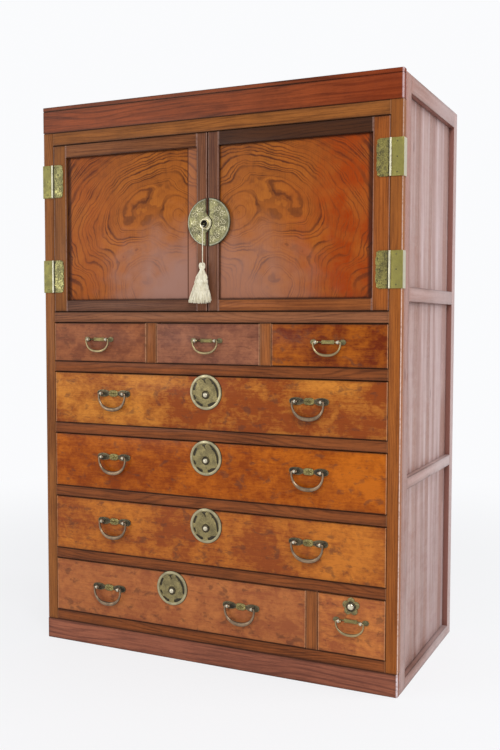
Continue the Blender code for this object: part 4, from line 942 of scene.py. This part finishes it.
def metal(name, bright, dull, patina, engraving=0.0, size=200.0, depth=0.0003):
    """An aged metal with its own colours and depth of engraving."""
    material, surface = new_finish(name)
    old = put("ShaderNodeGroup", {"Bright": (*bright, 1), "Dull": (*dull, 1), "Engraving": engraving,
                                  "Engraving Size": size, "Patina": patina}, node_tree=brass_group).outputs
    relief = put("ShaderNodeBump", {"Height": old["Height"], "Distance": depth, "Strength": 0.8}).outputs[0]
    feed(surface, {"Base Color": old["Color"], "Metallic": old["Metal"], "Roughness": old["Roughness"],
                   "Normal": relief})
    return material


FACING_FRONT = Matrix.Rotation(math.pi / 2, 4, "X")


def cut_plate(loops, thickness, back, roll=0.0004):
    """A plate cut from sheet by (x, z) loops, facing the front, with rolled edges."""
    drawing = bpy.data.curves.new("plate_drawing", "CURVE")
    drawing.dimensions = "2D"
    drawing.fill_mode = "BOTH"
    drawing.extrude = thickness / 2 - roll
    drawing.bevel_depth = roll
    drawing.bevel_resolution = 2
    drawing.offset = -roll
    for loop in loops:
        trace(drawing, [(x, z, 0) for x, z in loop]).use_cyclic_u = True
    holder = set_out("plate_drawing", drawing)
    mesh = bpy.data.meshes.new_from_object(holder.evaluated_get(bpy.context.evaluated_depsgraph_get()))
    bpy.data.objects.remove(holder)
    bpy.data.curves.remove(drawing)
    shape = bmesh.new()
    shape.from_mesh(mesh)
    bpy.data.meshes.remove(mesh)
    shape.transform(Matrix.Translation((0, back - thickness / 2, 0)) @ FACING_FRONT)
    bmesh.ops.remove_doubles(shape, verts=shape.verts, dist=1e-6)
    return shape


def turned(profile, centre, axis, sides, closed=False):
    """A turned shape from (distance along the axis, radius) pairs; closed makes it a ring."""
    rings = []
    for along, radius in profile:
        ring = []
        for angle in turns(sides):
            point = Vector(centre)
            point[axis] += along
            point[(axis + 1) % 3] += radius * math.cos(angle)
            point[(axis + 2) % 3] += radius * math.sin(angle)
            ring.append(point)
        rings.append(ring)
    return skin(rings, closed)


def dome(centre, radius, height, sides=14):
    """A domed nail head that faces the front."""
    profile = [(-height * math.sin(math.pi / 2 * turn / 4), radius * math.cos(math.pi / 2 * turn / 4) + 1e-5)
               for turn in range(5)]
    return turned([(0.0006, radius), *profile], centre, 1, sides)


def disc(x, z, radius, sides=72, start=0.0, end=math.tau):
    """Points round a circle, or round a part of it, clockwise from the top."""
    count = sides if end - start >= math.tau - 1e-6 else sides + 1
    return [(x + radius * math.sin(start + (end - start) * turn / sides),
             z + radius * math.cos(start + (end - start) * turn / sides)) for turn in range(count)]


post_leaf_brass = {side: metal(f"{side}_post_leaf_brass", pale, deep, 0.5, 0.15, 260.0)
                   for side, pale, deep in (("left", (0.22, 0.2, 0.062), (0.13, 0.115, 0.036)),
                                            ("right", (0.33, 0.29, 0.083), (0.195, 0.17, 0.048)))}
rubbed_brass = metal("rubbed_brass", (0.82, 0.78, 0.6), (0.4, 0.36, 0.2), 0.25)
nail_brass = metal("nail_brass", (0.15, 0.135, 0.06), (0.05, 0.045, 0.022), 0.5)
door_leaf_brass = {side: metal(f"{side}_door_leaf_brass", pale, deep, 0.55, 0.95, 95.0)
                   for side, pale, deep in (("left", (0.45, 0.415, 0.165), (0.115, 0.102, 0.042)),
                                            ("right", (0.33, 0.285, 0.086), (0.085, 0.072, 0.026)))}
# A dark line along each door leaf next to the knuckle: a painted shadow of the gap there.
for leaf_brass in door_leaf_brass.values():
    tree = leaf_brass.node_tree
    from_middle = reckon("ABSOLUTE", axes(where("Object"))["X"])
    knuckle_shadow_line = times(cloud(where("Object"), 210.0, 3.0, 0.6), 0.006, from_middle)
    lay_over(step(knuckle_shadow_line, 0.4255, 0.4275), (0.045, 0.04, 0.02, 1))
LEAF = 0.0016
LEAF_GAP = 0.0003
KNUCKLE = 0.0023
KNUCKLE_LENGTH = 0.02
HINGE_AXIS = 0.428375
WRAP_DEPTH = 0.02
NAIL = (0.0016, 0.0008)
# Width of the door leaf at heights down its half, as shares of its full size
LEAF_EDGE = ((0.5, 0.76), (0.485, 0.8), (0.475, 0.885), (0.455, 0.93), (0.42, 0.945), (0.38, 0.925),
             (0.355, 0.94), (0.33, 0.975), (0.28, 0.995), (0.2, 1.0), (0.15, 0.985), (0.1, 0.96), (0.06, 0.965),
             (0.03, 0.99), (0.0, 1.0))
NAILS = ((0.0055, 0.42), (0.0255, 0.3), (0.0255, 0.0), (0.0055, 0.0))


def barrel(low, high, pin_at):
    """A knuckle round the pin, with softened ends."""
    return turned(((low, KNUCKLE * 0.8), (low + 0.0003, KNUCKLE), (high - 0.0003, KNUCKLE),
                   (high, KNUCKLE * 0.8)), pin_at, 2, 20)


for side_name, side in (("left", -1), ("right", 1)):
    body = f"{side_name}_door"
    for level in ("upper", "lower"):
        post_leaf = f"{side_name}_door_{level}_hinge_post_leaf"
        door_leaf = f"{side_name}_door_{level}_hinge_door_leaf"
        low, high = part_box(post_leaf)
        door_low, door_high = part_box(door_leaf)
        middle, half = (low.z + high.z) / 2, (high.z - low.z) / 2
        pin_at = (side * HINGE_AXIS, FACE - LEAF_GAP - KNUCKLE, middle)
        outside = RIGHT + LEAF_GAP + LEAF
        body_side = HINGE_AXIS + KNUCKLE + 0.0004
        inside = half - KNUCKLE_LENGTH
        corners = ((outside, half), (outside, -half), (HINGE_AXIS, -half), (HINGE_AXIS, -inside),
                   (body_side, -inside), (body_side, inside), (HINGE_AXIS, inside), (HINGE_AXIS, half))
        post = cut_plate([[(side * a, middle + b) for a, b in corners]], LEAF, FACE - LEAF_GAP, 0.00035)
        wrap, knuckles, nails = bmesh.new(), bmesh.new(), bmesh.new()
        wrap_y = FACE - LEAF_GAP - LEAF / 2 + (WRAP_DEPTH + LEAF_GAP) / 2 + 0.0002
        wrap_size = Matrix.Diagonal((LEAF, WRAP_DEPTH + LEAF_GAP + LEAF - 0.0004, 2 * half, 1))
        wrap_place = Matrix.Translation((side * (outside - LEAF / 2), wrap_y, middle))
        bmesh.ops.create_cube(wrap, size=1, matrix=wrap_place @ wrap_size)
        bmesh.ops.bevel(wrap, geom=wrap.edges[:], offset=0.0004, segments=2, affect="EDGES")
        fit(f"{post_leaf}_wrap", wrap, rubbed_brass, "case", [post_leaf])
        for foot in (-half, half - KNUCKLE_LENGTH):
            add_in(knuckles, barrel(foot, foot + KNUCKLE_LENGTH, pin_at))
        add_in(knuckles, turned(((-half + 0.001, 0.0011), (half - 0.001, 0.0011)), pin_at, 2, 12))
        fit(f"{post_leaf}_knuckles", knuckles, rubbed_brass, "case", [post_leaf])
        for up in (-0.4, 0.0, 0.4):
            add_in(nails, dome((side * (HINGE_AXIS + 0.014), FACE - LEAF_GAP - LEAF, middle + up * 2 * half),
                               *NAIL))
        fit(f"{post_leaf}_nails", nails, nail_brass, "case", [post_leaf])
        fit(f"{post_leaf}_brass", post, post_leaf_brass[side_name], "case", [post_leaf])
        width = HINGE_AXIS - abs(door_low.x if side > 0 else door_high.x)
        inner = half - KNUCKLE_LENGTH - LEAF_GAP
        outline = [(width * share, 2 * half * up) for up, share in LEAF_EDGE]
        outline += [(a, -b) for a, b in outline[-2::-1]]
        reach = KNUCKLE + 0.0003
        outline += [(reach, -half), (reach, -inner), (0, -inner), (0, inner), (reach, inner), (reach, half)]
        leaf = cut_plate([[(side * (HINGE_AXIS - a), middle + b) for a, b in outline]], LEAF, FACE - LEAF_GAP,
                         0.0004)
        fit(f"{door_leaf}_knuckle", barrel(-inner, inner, pin_at), rubbed_brass, body, [door_leaf])
        nails = bmesh.new()
        for a, up in NAILS:
            for flip in ((1, -1) if up else (1,)):
                add_in(nails, dome((side * (HINGE_AXIS - a - 0.001), FACE - LEAF_GAP - LEAF,
                                    middle + flip * up * 2 * half), *NAIL))
        fit(f"{door_leaf}_nails", nails, nail_brass, body, [door_leaf])
        fit(f"{door_leaf}_brass", leaf, door_leaf_brass[side_name], body, [door_leaf])


# The door lock: a round plate of engraved brass in two halves, one on each door. The left
# half has a thick tongue with the collar of the keyhole that laps over the gap, and the
# right half is notched round it. A pin for the key stands in the keyhole.
lock_brass = metal("lock_brass", (0.4, 0.37, 0.18), (0.11, 0.1, 0.055), 0.6, 0.7, 150.0)
lock_rim_brass = metal("lock_rim_brass", (0.33, 0.325, 0.23), (0.13, 0.125, 0.085), 0.5)
scroll_brass = metal("scroll_brass", (0.64, 0.585, 0.39), (0.3, 0.26, 0.15), 0.45)
shadow_sheet_black = metal("shadow_sheet_black", (0.06, 0.05, 0.035), (0.02, 0.017, 0.012), 0.6)
PLATE_X = 0.004
PLATE_RADIUS = 0.0535
PLATE_RIM = 0.003
lock_low, lock_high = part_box("right_door_lock_plate")
lock_z = (lock_low.z + lock_high.z) / 2
TONGUE = ((-0.004, 0.0224), (0.002, 0.0135), (0.007, 0.0085), (0.0103, 0.005), (0.0116, 0.001),
          (0.0116, -0.0035), (0.0104, -0.0085), (0.0076, -0.0135), (0.003, -0.019), (-0.004, -0.0245))
HOLE = (-0.0052, -0.004)


def half_disc(side, chord, radius):
    """Points round one half of the door lock plate, from the top of its straight edge."""
    reach = chord - PLATE_X if side > 0 else PLATE_X - chord
    angle = math.asin(reach / radius)
    turns = [angle + (math.pi - 2 * angle) * turn / 44 for turn in range(45)]
    return [(PLATE_X + side * radius * math.sin(turn), lock_z + radius * math.cos(turn)) for turn in turns]


def tendrils(side, chord):
    """Raised tendrils on one half of the plate: coils in two rows, with pointed leaves between them."""
    shape = bmesh.new()
    face = FACE - LEAF_GAP - LEAF
    hole = Vector((HOLE[0], lock_z + HOLE[1]))

    def stroke(points, widths):
        """One raised line, left out where the plate has no room for it."""
        if all(side * (x - chord) > 0.0016 and (Vector((x, z)) - hole).length > 0.0155 for x, z in points):
            add_in(shape, thread([Vector((x, face, z)) for x, z in points], widths, 6))

    for row_radius, count, size in ((0.0375, 7, 0.0066), (0.0215, 4, 0.006)):
        for index in range(count):
            angle = math.pi * (index + 0.5) / count
            middle_x = PLATE_X + side * row_radius * math.sin(angle)
            middle_z = lock_z + row_radius * math.cos(angle)
            twist = 1 if index % 2 else -1
            coil = []
            for turn in range(26):
                share = turn / 25
                reach = size * (1 - 0.82 * share)
                bearing = angle + twist * share * math.tau * 1.35
                coil.append((middle_x + side * reach * math.sin(bearing), middle_z + reach * math.cos(bearing)))
            stroke(coil, [0.00085 - 0.0003 * turn / 25 for turn in range(26)])
            for lean in (-0.9, 0.0, 0.9):
                leaf = []
                for turn in range(5):
                    reach = size * (1.12 + 0.3 * turn / 4)
                    bearing = angle + math.pi * (index % 2) + lean + 0.12 * twist * turn
                    leaf.append((middle_x + side * reach * math.sin(bearing),
                                 middle_z + reach * math.cos(bearing)))
                stroke(leaf, [0.0005, 0.0009, 0.001, 0.0007, 0.0003])
    return shape


for side_name, side, chord in (("left", -1, -0.004), ("right", 1, 0.0058)):
    body = f"{side_name}_door"
    # Under each half a thin black sheet a little wider than the plate: a painted shadow round the plate's edge.
    shadow_outline = half_disc(side, side * 0.0023, PLATE_RADIUS + 0.0012)
    fit(f"{side_name}_lock_shadow_sheet", cut_plate([shadow_outline], 0.0003, FACE, 0.00005), shadow_sheet_black, body)
    fit(f"{side_name}_lock_tendrils", tendrils(side, chord), scroll_brass, body)
    outer = half_disc(side, chord, PLATE_RADIUS)
    if side < 0:
        edge = [(x, lock_z + z) for x, z in TONGUE[::-1]]
    else:
        edge = [(max(x + 0.0018, chord), lock_z + z) for x, z in TONGUE[::-1] if x + 0.0018 > chord - 0.003]
    loops = [outer + edge]
    if side < 0:
        loops.append(disc(HOLE[0], lock_z + HOLE[1], 0.0088, 40))
    plate = cut_plate(loops, LEAF, FACE - LEAF_GAP, 0.0005)
    rim = half_disc(side, chord, PLATE_RADIUS - 0.0006)
    inner_rim = half_disc(side, chord, PLATE_RADIUS - PLATE_RIM)
    fit(f"{side_name}_lock_rim", cut_plate([rim + inner_rim[::-1]], 0.0012, FACE - LEAF_GAP - LEAF + 0.0006,
            0.0003), lock_rim_brass, body)
    for turn in (0.42, 1.05, 1.57, 2.09, 2.72):
        x = PLATE_X + side * (PLATE_RADIUS - 0.0062) * math.sin(turn)
        add_in(plate, dome((x, FACE - LEAF_GAP - LEAF, lock_z + (PLATE_RADIUS - 0.0062) * math.cos(turn)),
                           0.0014, 0.0009))
    if side < 0:
        tongue = [(x - 0.0003, lock_z + z * 0.97) for x, z in TONGUE[1:-1]]
        inner_side = disc(HOLE[0] - 0.0012, lock_z + HOLE[1], 0.0122, 24, math.pi * 1.14, math.pi * 1.86)
        fit("lock_tongue", cut_plate([tongue + inner_side, disc(HOLE[0], lock_z + HOLE[1], 0.0092, 40)], 0.0026,
                FACE - LEAF_GAP - LEAF + 0.0004, 0.0009), scroll_brass, "left_door")
    fit(f"{side_name}_door_lock_brass", plate, lock_brass, body, [f"{side_name}_door_lock_plate"])
collar_face = FACE - LEAF_GAP - LEAF
hole_at = (HOLE[0], collar_face, lock_z + HOLE[1])
COLLAR_TUBE = ((0.0014, 0.0093), (-0.0052, 0.0093), (-0.0058, 0.0091), (-0.006, 0.0086), (-0.0057, 0.0081),
               (-0.005, 0.0079), (0.0014, 0.0079))
fit("keyhole_collar", turned(COLLAR_TUBE, hole_at, 1, 40, True), scroll_brass, "left_door",
    ["door_lock_boss"])
pin = turned(((0.001, 0.0018), (-0.0025, 0.0018), (-0.0032, 0.0014), (-0.0035, 0.0006)),
             (HOLE[0] - 0.001, collar_face, lock_z + HOLE[1]), 1, 16)
fit("key_pin", pin, nail_brass, "left_door", ["door_lock_boss"])
# The keyhole's floor and lining are near black: painted shade inside the hole.
dark_hole, surface = new_finish("keyhole_dark")
keyhole_shade = step(cloud(where("Object"), 400.0), 0.3, 0.7)
feed(surface, {"Base Color": tint(keyhole_shade, (0.01, 0.007, 0.004, 1), (0.03, 0.02, 0.01, 1)), "Roughness": 0.8})
hole_floor = cut_plate([disc(HOLE[0], lock_z + HOLE[1], 0.0089, 32)], 0.0004, FACE - LEAF_GAP, 0.00005)
HOLE_LINING = ((0.0014, 0.0079), (-0.004, 0.0079), (-0.004, 0.0077), (0.0014, 0.0077))
add_in(hole_floor, turned(HOLE_LINING, hole_at, 1, 32, True))
fit("keyhole_inside", hole_floor, dark_hole, "left_door")


# The handles: a dark bronze backplate with two lobes, a brass rosette or cartouche in its
# middle and two eye posts driven into the front, and a bail that turns in the eyes on two
# round heads. Wide drawers have the long pattern, small ones a slim one.
dark_bronze = metal("dark_bronze", (0.15, 0.12, 0.07), (0.026, 0.021, 0.014), 0.85, 0.6, 200.0)
slim_bronze = metal("slim_bronze", (0.36, 0.32, 0.15), (0.09, 0.08, 0.04), 0.6, 0.5, 220.0)
slim_bail_bronze = metal("slim_bail_bronze", (0.43, 0.33, 0.17), (0.15, 0.11, 0.058), 0.5, depth=0.0001)
eye_bronze = metal("eye_bronze", (0.64, 0.59, 0.47), (0.26, 0.23, 0.16), 0.35)
bail_bronze = metal("bail_bronze", (0.33, 0.23, 0.145), (0.11, 0.074, 0.046), 0.65, depth=0.0001)
# The bails are darker on faces turned away from the front: painted shade.
for bronze in (slim_bail_bronze, bail_bronze):
    tree = bronze.node_tree
    lay_over(step(axes(where("Normal"))["Y"], -0.72, -0.3, 0.0, 0.85), (0.04, 0.028, 0.018, 1))
rosette_brass = metal("rosette_brass", (0.35, 0.29, 0.11), (0.11, 0.085, 0.034), 0.5, 0.45, 300.0)
edge_bronze = metal("edge_bronze", (0.3, 0.25, 0.13), (0.08, 0.064, 0.034), 0.6)
# How far the bails' pivots stand before the front
PIVOT_REACH = 0.01
EYE = 0.0042
EYE_HOLE = 0.0026
PLATE = 0.0018
LONG_EDGE = ((0.0, 0.62), (0.19, 0.6), (0.23, 0.5), (0.28, 0.52), (0.34, 0.68), (0.42, 0.86), (0.52, 0.97),
             (0.64, 1.0), (0.76, 0.97), (0.86, 0.87), (0.93, 0.72), (0.975, 0.5), (0.995, 0.25), (1.0, 0.0))
SLIM_EDGE = ((0.0, 0.4), (0.3, 0.4), (0.335, 0.27), (0.6, 0.27), (0.64, 0.42), (0.67, 0.7), (0.72, 0.9),
             (0.78, 0.99), (0.84, 1.0), (0.9, 0.93), (0.955, 0.72), (0.98, 0.4), (1.0, 0.22), (1.0, 0.0))
HANDLES = {
    "long": dict(arm=0.037, eye=0.0305, head=0.0245, half_length=0.0465, half_height=0.0085, edge=LONG_EDGE,
                 drop=0.0385, arm_radius=0.0024, grip=0.0048, grip_depth=0.0036),
    "slim": dict(arm=0.0315, eye=0.0255, head=0.02, half_length=0.041, half_height=0.0058, edge=SLIM_EDGE,
                 drop=0.0285, arm_radius=0.0019, grip=0.0032, grip_depth=0.0027),
}


def drawn_in(loop, by):
    """The loop drawn in from its edge."""
    count = len(loop)
    area = sum(loop[i - 1][0] * loop[i][1] - loop[i][0] * loop[i - 1][1] for i in range(count))
    turn = 1 if area > 0 else -1
    inner = []
    for i in range(count):
        (ax, az), (bx, bz) = loop[i - 1], loop[(i + 1) % count]
        length = math.hypot(bx - ax, bz - az) or 1.0
        inner.append((loop[i][0] - turn * by * (bz - az) / length, loop[i][1] + turn * by * (bx - ax) / length))
    return inner


def outline_of(size, x, z):
    """The outline of a backplate with its two lobes."""
    quarter = [(a * size["half_length"], b * size["half_height"]) for a, b in size["edge"]]
    right = quarter + [(a, -b) for a, b in quarter[-2::-1]]
    return [(x + a, z + b) for a, b in right + [(-a, b) for a, b in right[-2:0:-1]]]


def backplate(size, x, z):
    """The lobed backplate of a handle."""
    plate = cut_plate([outline_of(size, x, z)], PLATE, FACE + 0.0001, 0.0005)
    for side in (-1, 1):
        add_in(plate, dome((x + side * size["half_length"] * 0.93, FACE - PLATE, z), 0.0012, 0.0007))
    return plate


def eye_post(x, z):
    """A post in the drawer front that ends in a round eye."""
    rings = []
    for half, inset in ((-0.00225, 0.0004), (-0.0016, 0), (0.0016, 0), (0.00225, 0.0004)):
        outer, hole = [], []
        for angle in turns(28):
            toward, up = math.cos(angle), math.sin(angle)
            if toward > 0.55:
                outer.append((x + half, FACE - 0.0004, z + 0.0026 * up / 0.835))
            else:
                outer.append((x + half, FACE - PIVOT_REACH + (EYE - inset) * toward, z + (EYE - inset) * up))
            hole.append((x + half, FACE - PIVOT_REACH + EYE_HOLE * toward, z + EYE_HOLE * up))
        if half in (-0.00225, 0.00225):
            rings += [outer, hole] if half > 0 else [hole, outer]
        else:
            rings.append(outer)
    return skin(rings, closed=True)


def rosette(x, z, half_x, half_z):
    """A small cast rosette of four ribbed petals on the middle of a long backplate."""
    shape = bmesh.new()
    count = 28
    grid = []
    for row in range(count + 1):
        line = []
        for column in range(count + 1):
            u, v = 2 * column / count - 1, 2 * row / count - 1
            reach = (abs(u) ** 3.2 + abs(v) ** 3.2) ** (1 / 3.2)
            square = max(abs(u), abs(v), 1e-6)
            fit_in = square / max(reach, 1e-6) if reach > 1e-6 else 1.0
            a, b = u * fit_in, v * fit_in
            petal = abs(math.sin(2 * math.atan2(b, a))) ** 0.7
            rib = max(abs(math.cos((a + b) * 4.6)) ** 5, abs(math.cos((a - b) * 4.6)) ** 5)
            rise = 0.0007 + 0.0009 * petal * (1 - square ** 4) + 0.0011 * rib * (1 - square ** 6)
            line.append(shape.verts.new((x + a * half_x, FACE - PLATE - rise * (1 if square < 0.999 else 0),
                    z + b * half_z)))
        grid.append(line)
    for low_row, high_row in zip(grid, grid[1:]):
        for i in range(count):
            shape.faces.new((low_row[i], low_row[i + 1], high_row[i + 1], high_row[i]))
    return shape


def bail(size, pivot):
    """A bail: round heads inside the eyes, pins, bowed arms and a ridged, thicker grip."""
    arm, drop, head = size["arm"], size["drop"], size["head"]
    thin = size["arm_radius"]
    bend = thin * 1.25
    steps = [(-head, 0.0008), (-head, 0.0022), (-head - 0.0009, 0.003), (-head - 0.002, 0.0033),
             (-head - 0.0031, 0.003), (-head - 0.0039, 0.002), (-arm + bend * 1.1, 0.002)]
    route = [(Vector((a + 0.0006 * (index == 1), 0, 0)), radius, radius) for index,
             (a, radius) in enumerate(steps)]
    for turn in range(1, 5):
        angle = math.pi / 2 * turn / 5
        route.append((Vector((-arm + bend * (1 - math.sin(angle)), 0, -bend * (1 - math.cos(angle)))), thin,
                      thin))
    count = 44
    for turn in range(1, count):
        angle = math.pi * turn / count
        power = 2 / 2.25
        sideways = -arm * abs(math.cos(angle)) ** power * (1 if math.cos(angle) >= 0 else -1)
        down = -bend - (drop - bend) * math.sin(angle) ** power
        swell = math.sin(angle) ** 2.4
        route.append((Vector((sideways, 0, down)), thin + (size["grip"] - thin) * swell,
                      thin + (size["grip_depth"] - thin) * swell))
    mirror = route[:11]
    route += [(Vector((-point.x, 0, point.z)), wide, deep) for point, wide, deep in mirror[::-1]]
    rings = []
    last = len(route) - 1
    for index, (point, wide, deep) in enumerate(route):
        along = route[min(index + 1, last)][0] - route[max(index - 1, 0)][0]
        along = along.normalized() if along.length > 1e-7 else Vector((1, 0, 0))
        normal = Vector((-along.z, 0, along.x))
        ring = []
        for angle in turns(20):
            ridge = 1.0 + 0.07 * max(0.0, math.cos(angle * 2 + math.pi)) * (1 if wide > thin * 1.2 else 0)
            ring.append(pivot + point + normal * (wide * math.cos(angle))
                        + Vector((0, deep * ridge * math.sin(angle), 0)))
        rings.append(ring)
    return skin(rings)


PIVOTS = {joint["child"]: joint["pos_m"] for joint in frame["record"]["behaviour"]["joints"]
          if joint["child"].endswith("_bail")}
for name in FRONT_TONES:
    kind = "slim" if name.endswith("small_drawer") else "long"
    size = HANDLES[kind]
    bails = [bail_name for bail_name in PIVOTS if bail_name.startswith(name)]
    dark, bright, edges, eyes = bmesh.new(), bmesh.new(), bmesh.new(), bmesh.new()
    for bail_name in bails:
        pivot = Vector(PIVOTS[bail_name])
        add_in(dark, backplate(size, pivot.x, pivot.z))
        outer = drawn_in(outline_of(size, pivot.x, pivot.z), 0.0003)
        add_in(edges, cut_plate([outer, drawn_in(outer, 0.0008)], 0.0007, FACE - PLATE + 0.0004, 0.0002))
        for side in (-1, 1):
            add_in(eyes, eye_post(pivot.x + side * size["eye"], pivot.z))
        if kind == "long":
            add_in(bright, rosette(pivot.x, pivot.z, 0.0124, 0.008))
        else:
            outline = [(-0.0145, 0.0045), (-0.007, 0.004), (0.007, 0.004), (0.0145, 0.0045),
                       (0.0145, -0.0045), (0.007, -0.004), (-0.007, -0.004), (-0.0145, -0.0045)]
            add_in(bright, cut_plate([[(pivot.x + a, pivot.z + b) for a, b in outline]], 0.0014,
                    FACE - PLATE + 0.0004, 0.0004))
            for line in (-0.0022, 0.0022):
                add_in(bright, cut_plate([[(pivot.x + a, pivot.z + line + b) for a, b in (
                    (-0.013, 0.0006), (0.013, 0.0006), (0.013, -0.0006), (-0.013, -0.0006))]],
                    0.0006, FACE - PLATE - 0.0008, 0.0002))
        fit(f"{bail_name}_bronze", bail(size, pivot), bail_bronze if kind == "long" else slim_bail_bronze,
            bail_name, [bail_name], 50)
    fit(f"{name}_backplates", dark, dark_bronze if kind == "long" else slim_bronze, name, [name])
    fit(f"{name}_backplate_edges", edges, edge_bronze, name, [name])
    fit(f"{name}_eye_posts", eyes, eye_bronze, name, [name])
    fit(f"{name}_rosettes", bright, rosette_brass, name, [name])


# The round lock plates: pierced brass with a smooth raised rim, nailed over the front and
# a little over the rail above. A domed button in a dark collar, below the middle, is
# pressed to let the drawer out.
drawer_brass = metal("drawer_lock_brass", (0.345, 0.282, 0.125), (0.105, 0.084, 0.04), 0.5, 0.7, 210.0)
rim_bronze = metal("rim_bronze", (0.43, 0.38, 0.23), (0.19, 0.162, 0.092), 0.5)
button_brass = metal("button_brass", (0.72, 0.66, 0.5), (0.3, 0.26, 0.17), 0.3)
LOCK_RADIUS = 0.0405
LOCK_RIM = 0.006
BUTTON_DROP = 0.006
FLOWER_RADIUS = 0.02
# Depth of the collar's section from the front, and how much wider it is than the button
BUTTON_COLLAR = ((0.001, 0.0004), (-0.003, 0.0004), (-0.0038, 0.0008), (-0.004, 0.0016), (-0.0036, 0.0024),
                 (-0.0022, 0.0034), (0.001, 0.0038))
# Openings pierced in the plate, in millimetres from its middle
PIERCED = (((-11.2, 30.6), (-5.0, 32.0), (1.9, 33.0), (0.8, 30.9), (-3.2, 29.2), (0.2, 21.4), (-1.2, 20.3),
            (-5.0, 27.0), (-9.4, 28.8)), ((-26.6, 21.8), (-21.6, 21.6), (-25.6, 12.4), (-28.4, 3.2),
        (-33.3, 4.0), (-31.6, 12.2), (-28.6, 18.6)), ((-32.6, -6.8), (-28.6, -6.6), (-25.1, -14.9),
        (-26.6, -18.0), (-29.9, -14.2)), ((-25.1, -21.2), (-18.9, -22.3), (-12.7, -25.7), (-7.7, -27.0),
        (-7.0, -32.0), (-12.0, -33.0), (-17.5, -29.6), (-22.7, -25.4)),
           ((5.4, -26.3), (8.1, -26.9), (13.5, -22.8), (20.0, -21.8), (27.6, -21.2), (24.3, -24.9),
            (18.0, -29.4), (10.5, -32.9), (5.2, -32.6)), ((8.9, 32.6), (13.3, 31.4), (18.9, 27.2), (25.0, 20.6),
        (30.4, 11.2), (33.2, 0.0), (33.0, -9.5), (30.5, -12.2), (28.7, -8.8), (28.1, 1.4), (24.3, 12.2),
        (19.9, 18.4), (15.6, 20.1), (15.8, 23.0), (11.2, 27.7)),)


def rounded(loop):
    """The loop with its corners cut twice, which rounds them."""
    for turn in range(2):
        fresh = []
        for index, (x, z) in enumerate(loop):
            ax, az = loop[(index + 1) % len(loop)]
            fresh += [(0.78 * x + 0.22 * ax, 0.78 * z + 0.22 * az),
                      (0.22 * x + 0.78 * ax, 0.22 * z + 0.78 * az)]
        loop = fresh
    return loop


for name in ("upper_drawer", "middle_drawer", "lower_drawer", "bottom_wide_drawer", "bottom_small_drawer"):
    button_name = f"{name}_button"
    button_low, button_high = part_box(button_name)
    x, button_z = (button_low.x + button_high.x) / 2, (button_low.z + button_high.z) / 2
    if name != "bottom_small_drawer":
        z = button_z + BUTTON_DROP
        loops = [disc(x, z, LOCK_RADIUS), disc(x, button_z, 0.0098, 36)]
        loops += [rounded([(x + a / 1000, z + b / 1000) for a, b in loop]) for loop in PIERCED]
        plate = cut_plate(loops, 0.0014, FACE - 0.0003, 0.0004)
        for a, b in ((-26.5, 26.8), (25.8, 26.2), (-4.0, -36.6)):
            add_in(plate, dome((x + a / 1000, FACE - 0.0017, z + b / 1000), 0.0013, 0.0008))
        fit(f"{name}_lock_plate", plate, drawer_brass, name, [name])
        # Under the plate a thin black sheet a little wider than it: a painted shadow round its edge and in its
        # pierced openings.
        fit(f"{name}_lock_shadow_sheet", cut_plate([disc(x, z, LOCK_RADIUS + 0.0008), disc(x, button_z, 0.0095, 36)],
                0.0003, FACE - 0.00005, 0.00005), shadow_sheet_black, name)
        rim = cut_plate([disc(x, z, LOCK_RADIUS - 0.0003), disc(x, z, LOCK_RADIUS - LOCK_RIM)], 0.0014,
                        FACE - 0.0012, 0.0006)
        fit(f"{name}_lock_rim", rim, rim_bronze, name, [name])
        button_radius = 0.006
    else:
        petals = []
        for angle in turns(150):
            petal = abs(math.cos(2.5 * angle)) ** 0.62
            reach = FLOWER_RADIUS * (0.66 + 0.34 * petal)
            petals.append((x + reach * math.sin(angle), button_z + reach * math.cos(angle)))
        plate = cut_plate([petals, disc(x, button_z, 0.0105, 36)], 0.0018, FACE + 0.0001, 0.0006)
        for angle in turns(5):
            add_in(plate, dome((x + 0.015 * math.sin(angle), FACE - PLATE + 0.0004,
                                button_z + 0.015 * math.cos(angle)), 0.0038, 0.0012, 20))
        fit(f"{name}_flower_plate", plate, drawer_brass, name, [name])
        button_radius = 0.0075
    collar = [(along, button_radius + wider) for along, wider in BUTTON_COLLAR]
    fit(f"{name}_button_collar", turned(collar, (x, FACE, button_z), 1, 36, True), dark_bronze, name,
        [name])
    profile = [(0.005, button_radius)]
    for turn in range(7):
        angle = math.pi / 2 * turn / 6
        profile.append((-0.0032 - 0.0043 * math.sin(angle),
                        max(button_radius * math.cos(angle) ** 0.8, 0.0002)))
    fit(f"{name}_button_brass", turned(profile, (x, FACE, button_z), 1, 28), button_brass, button_name,
        [button_name], 60)
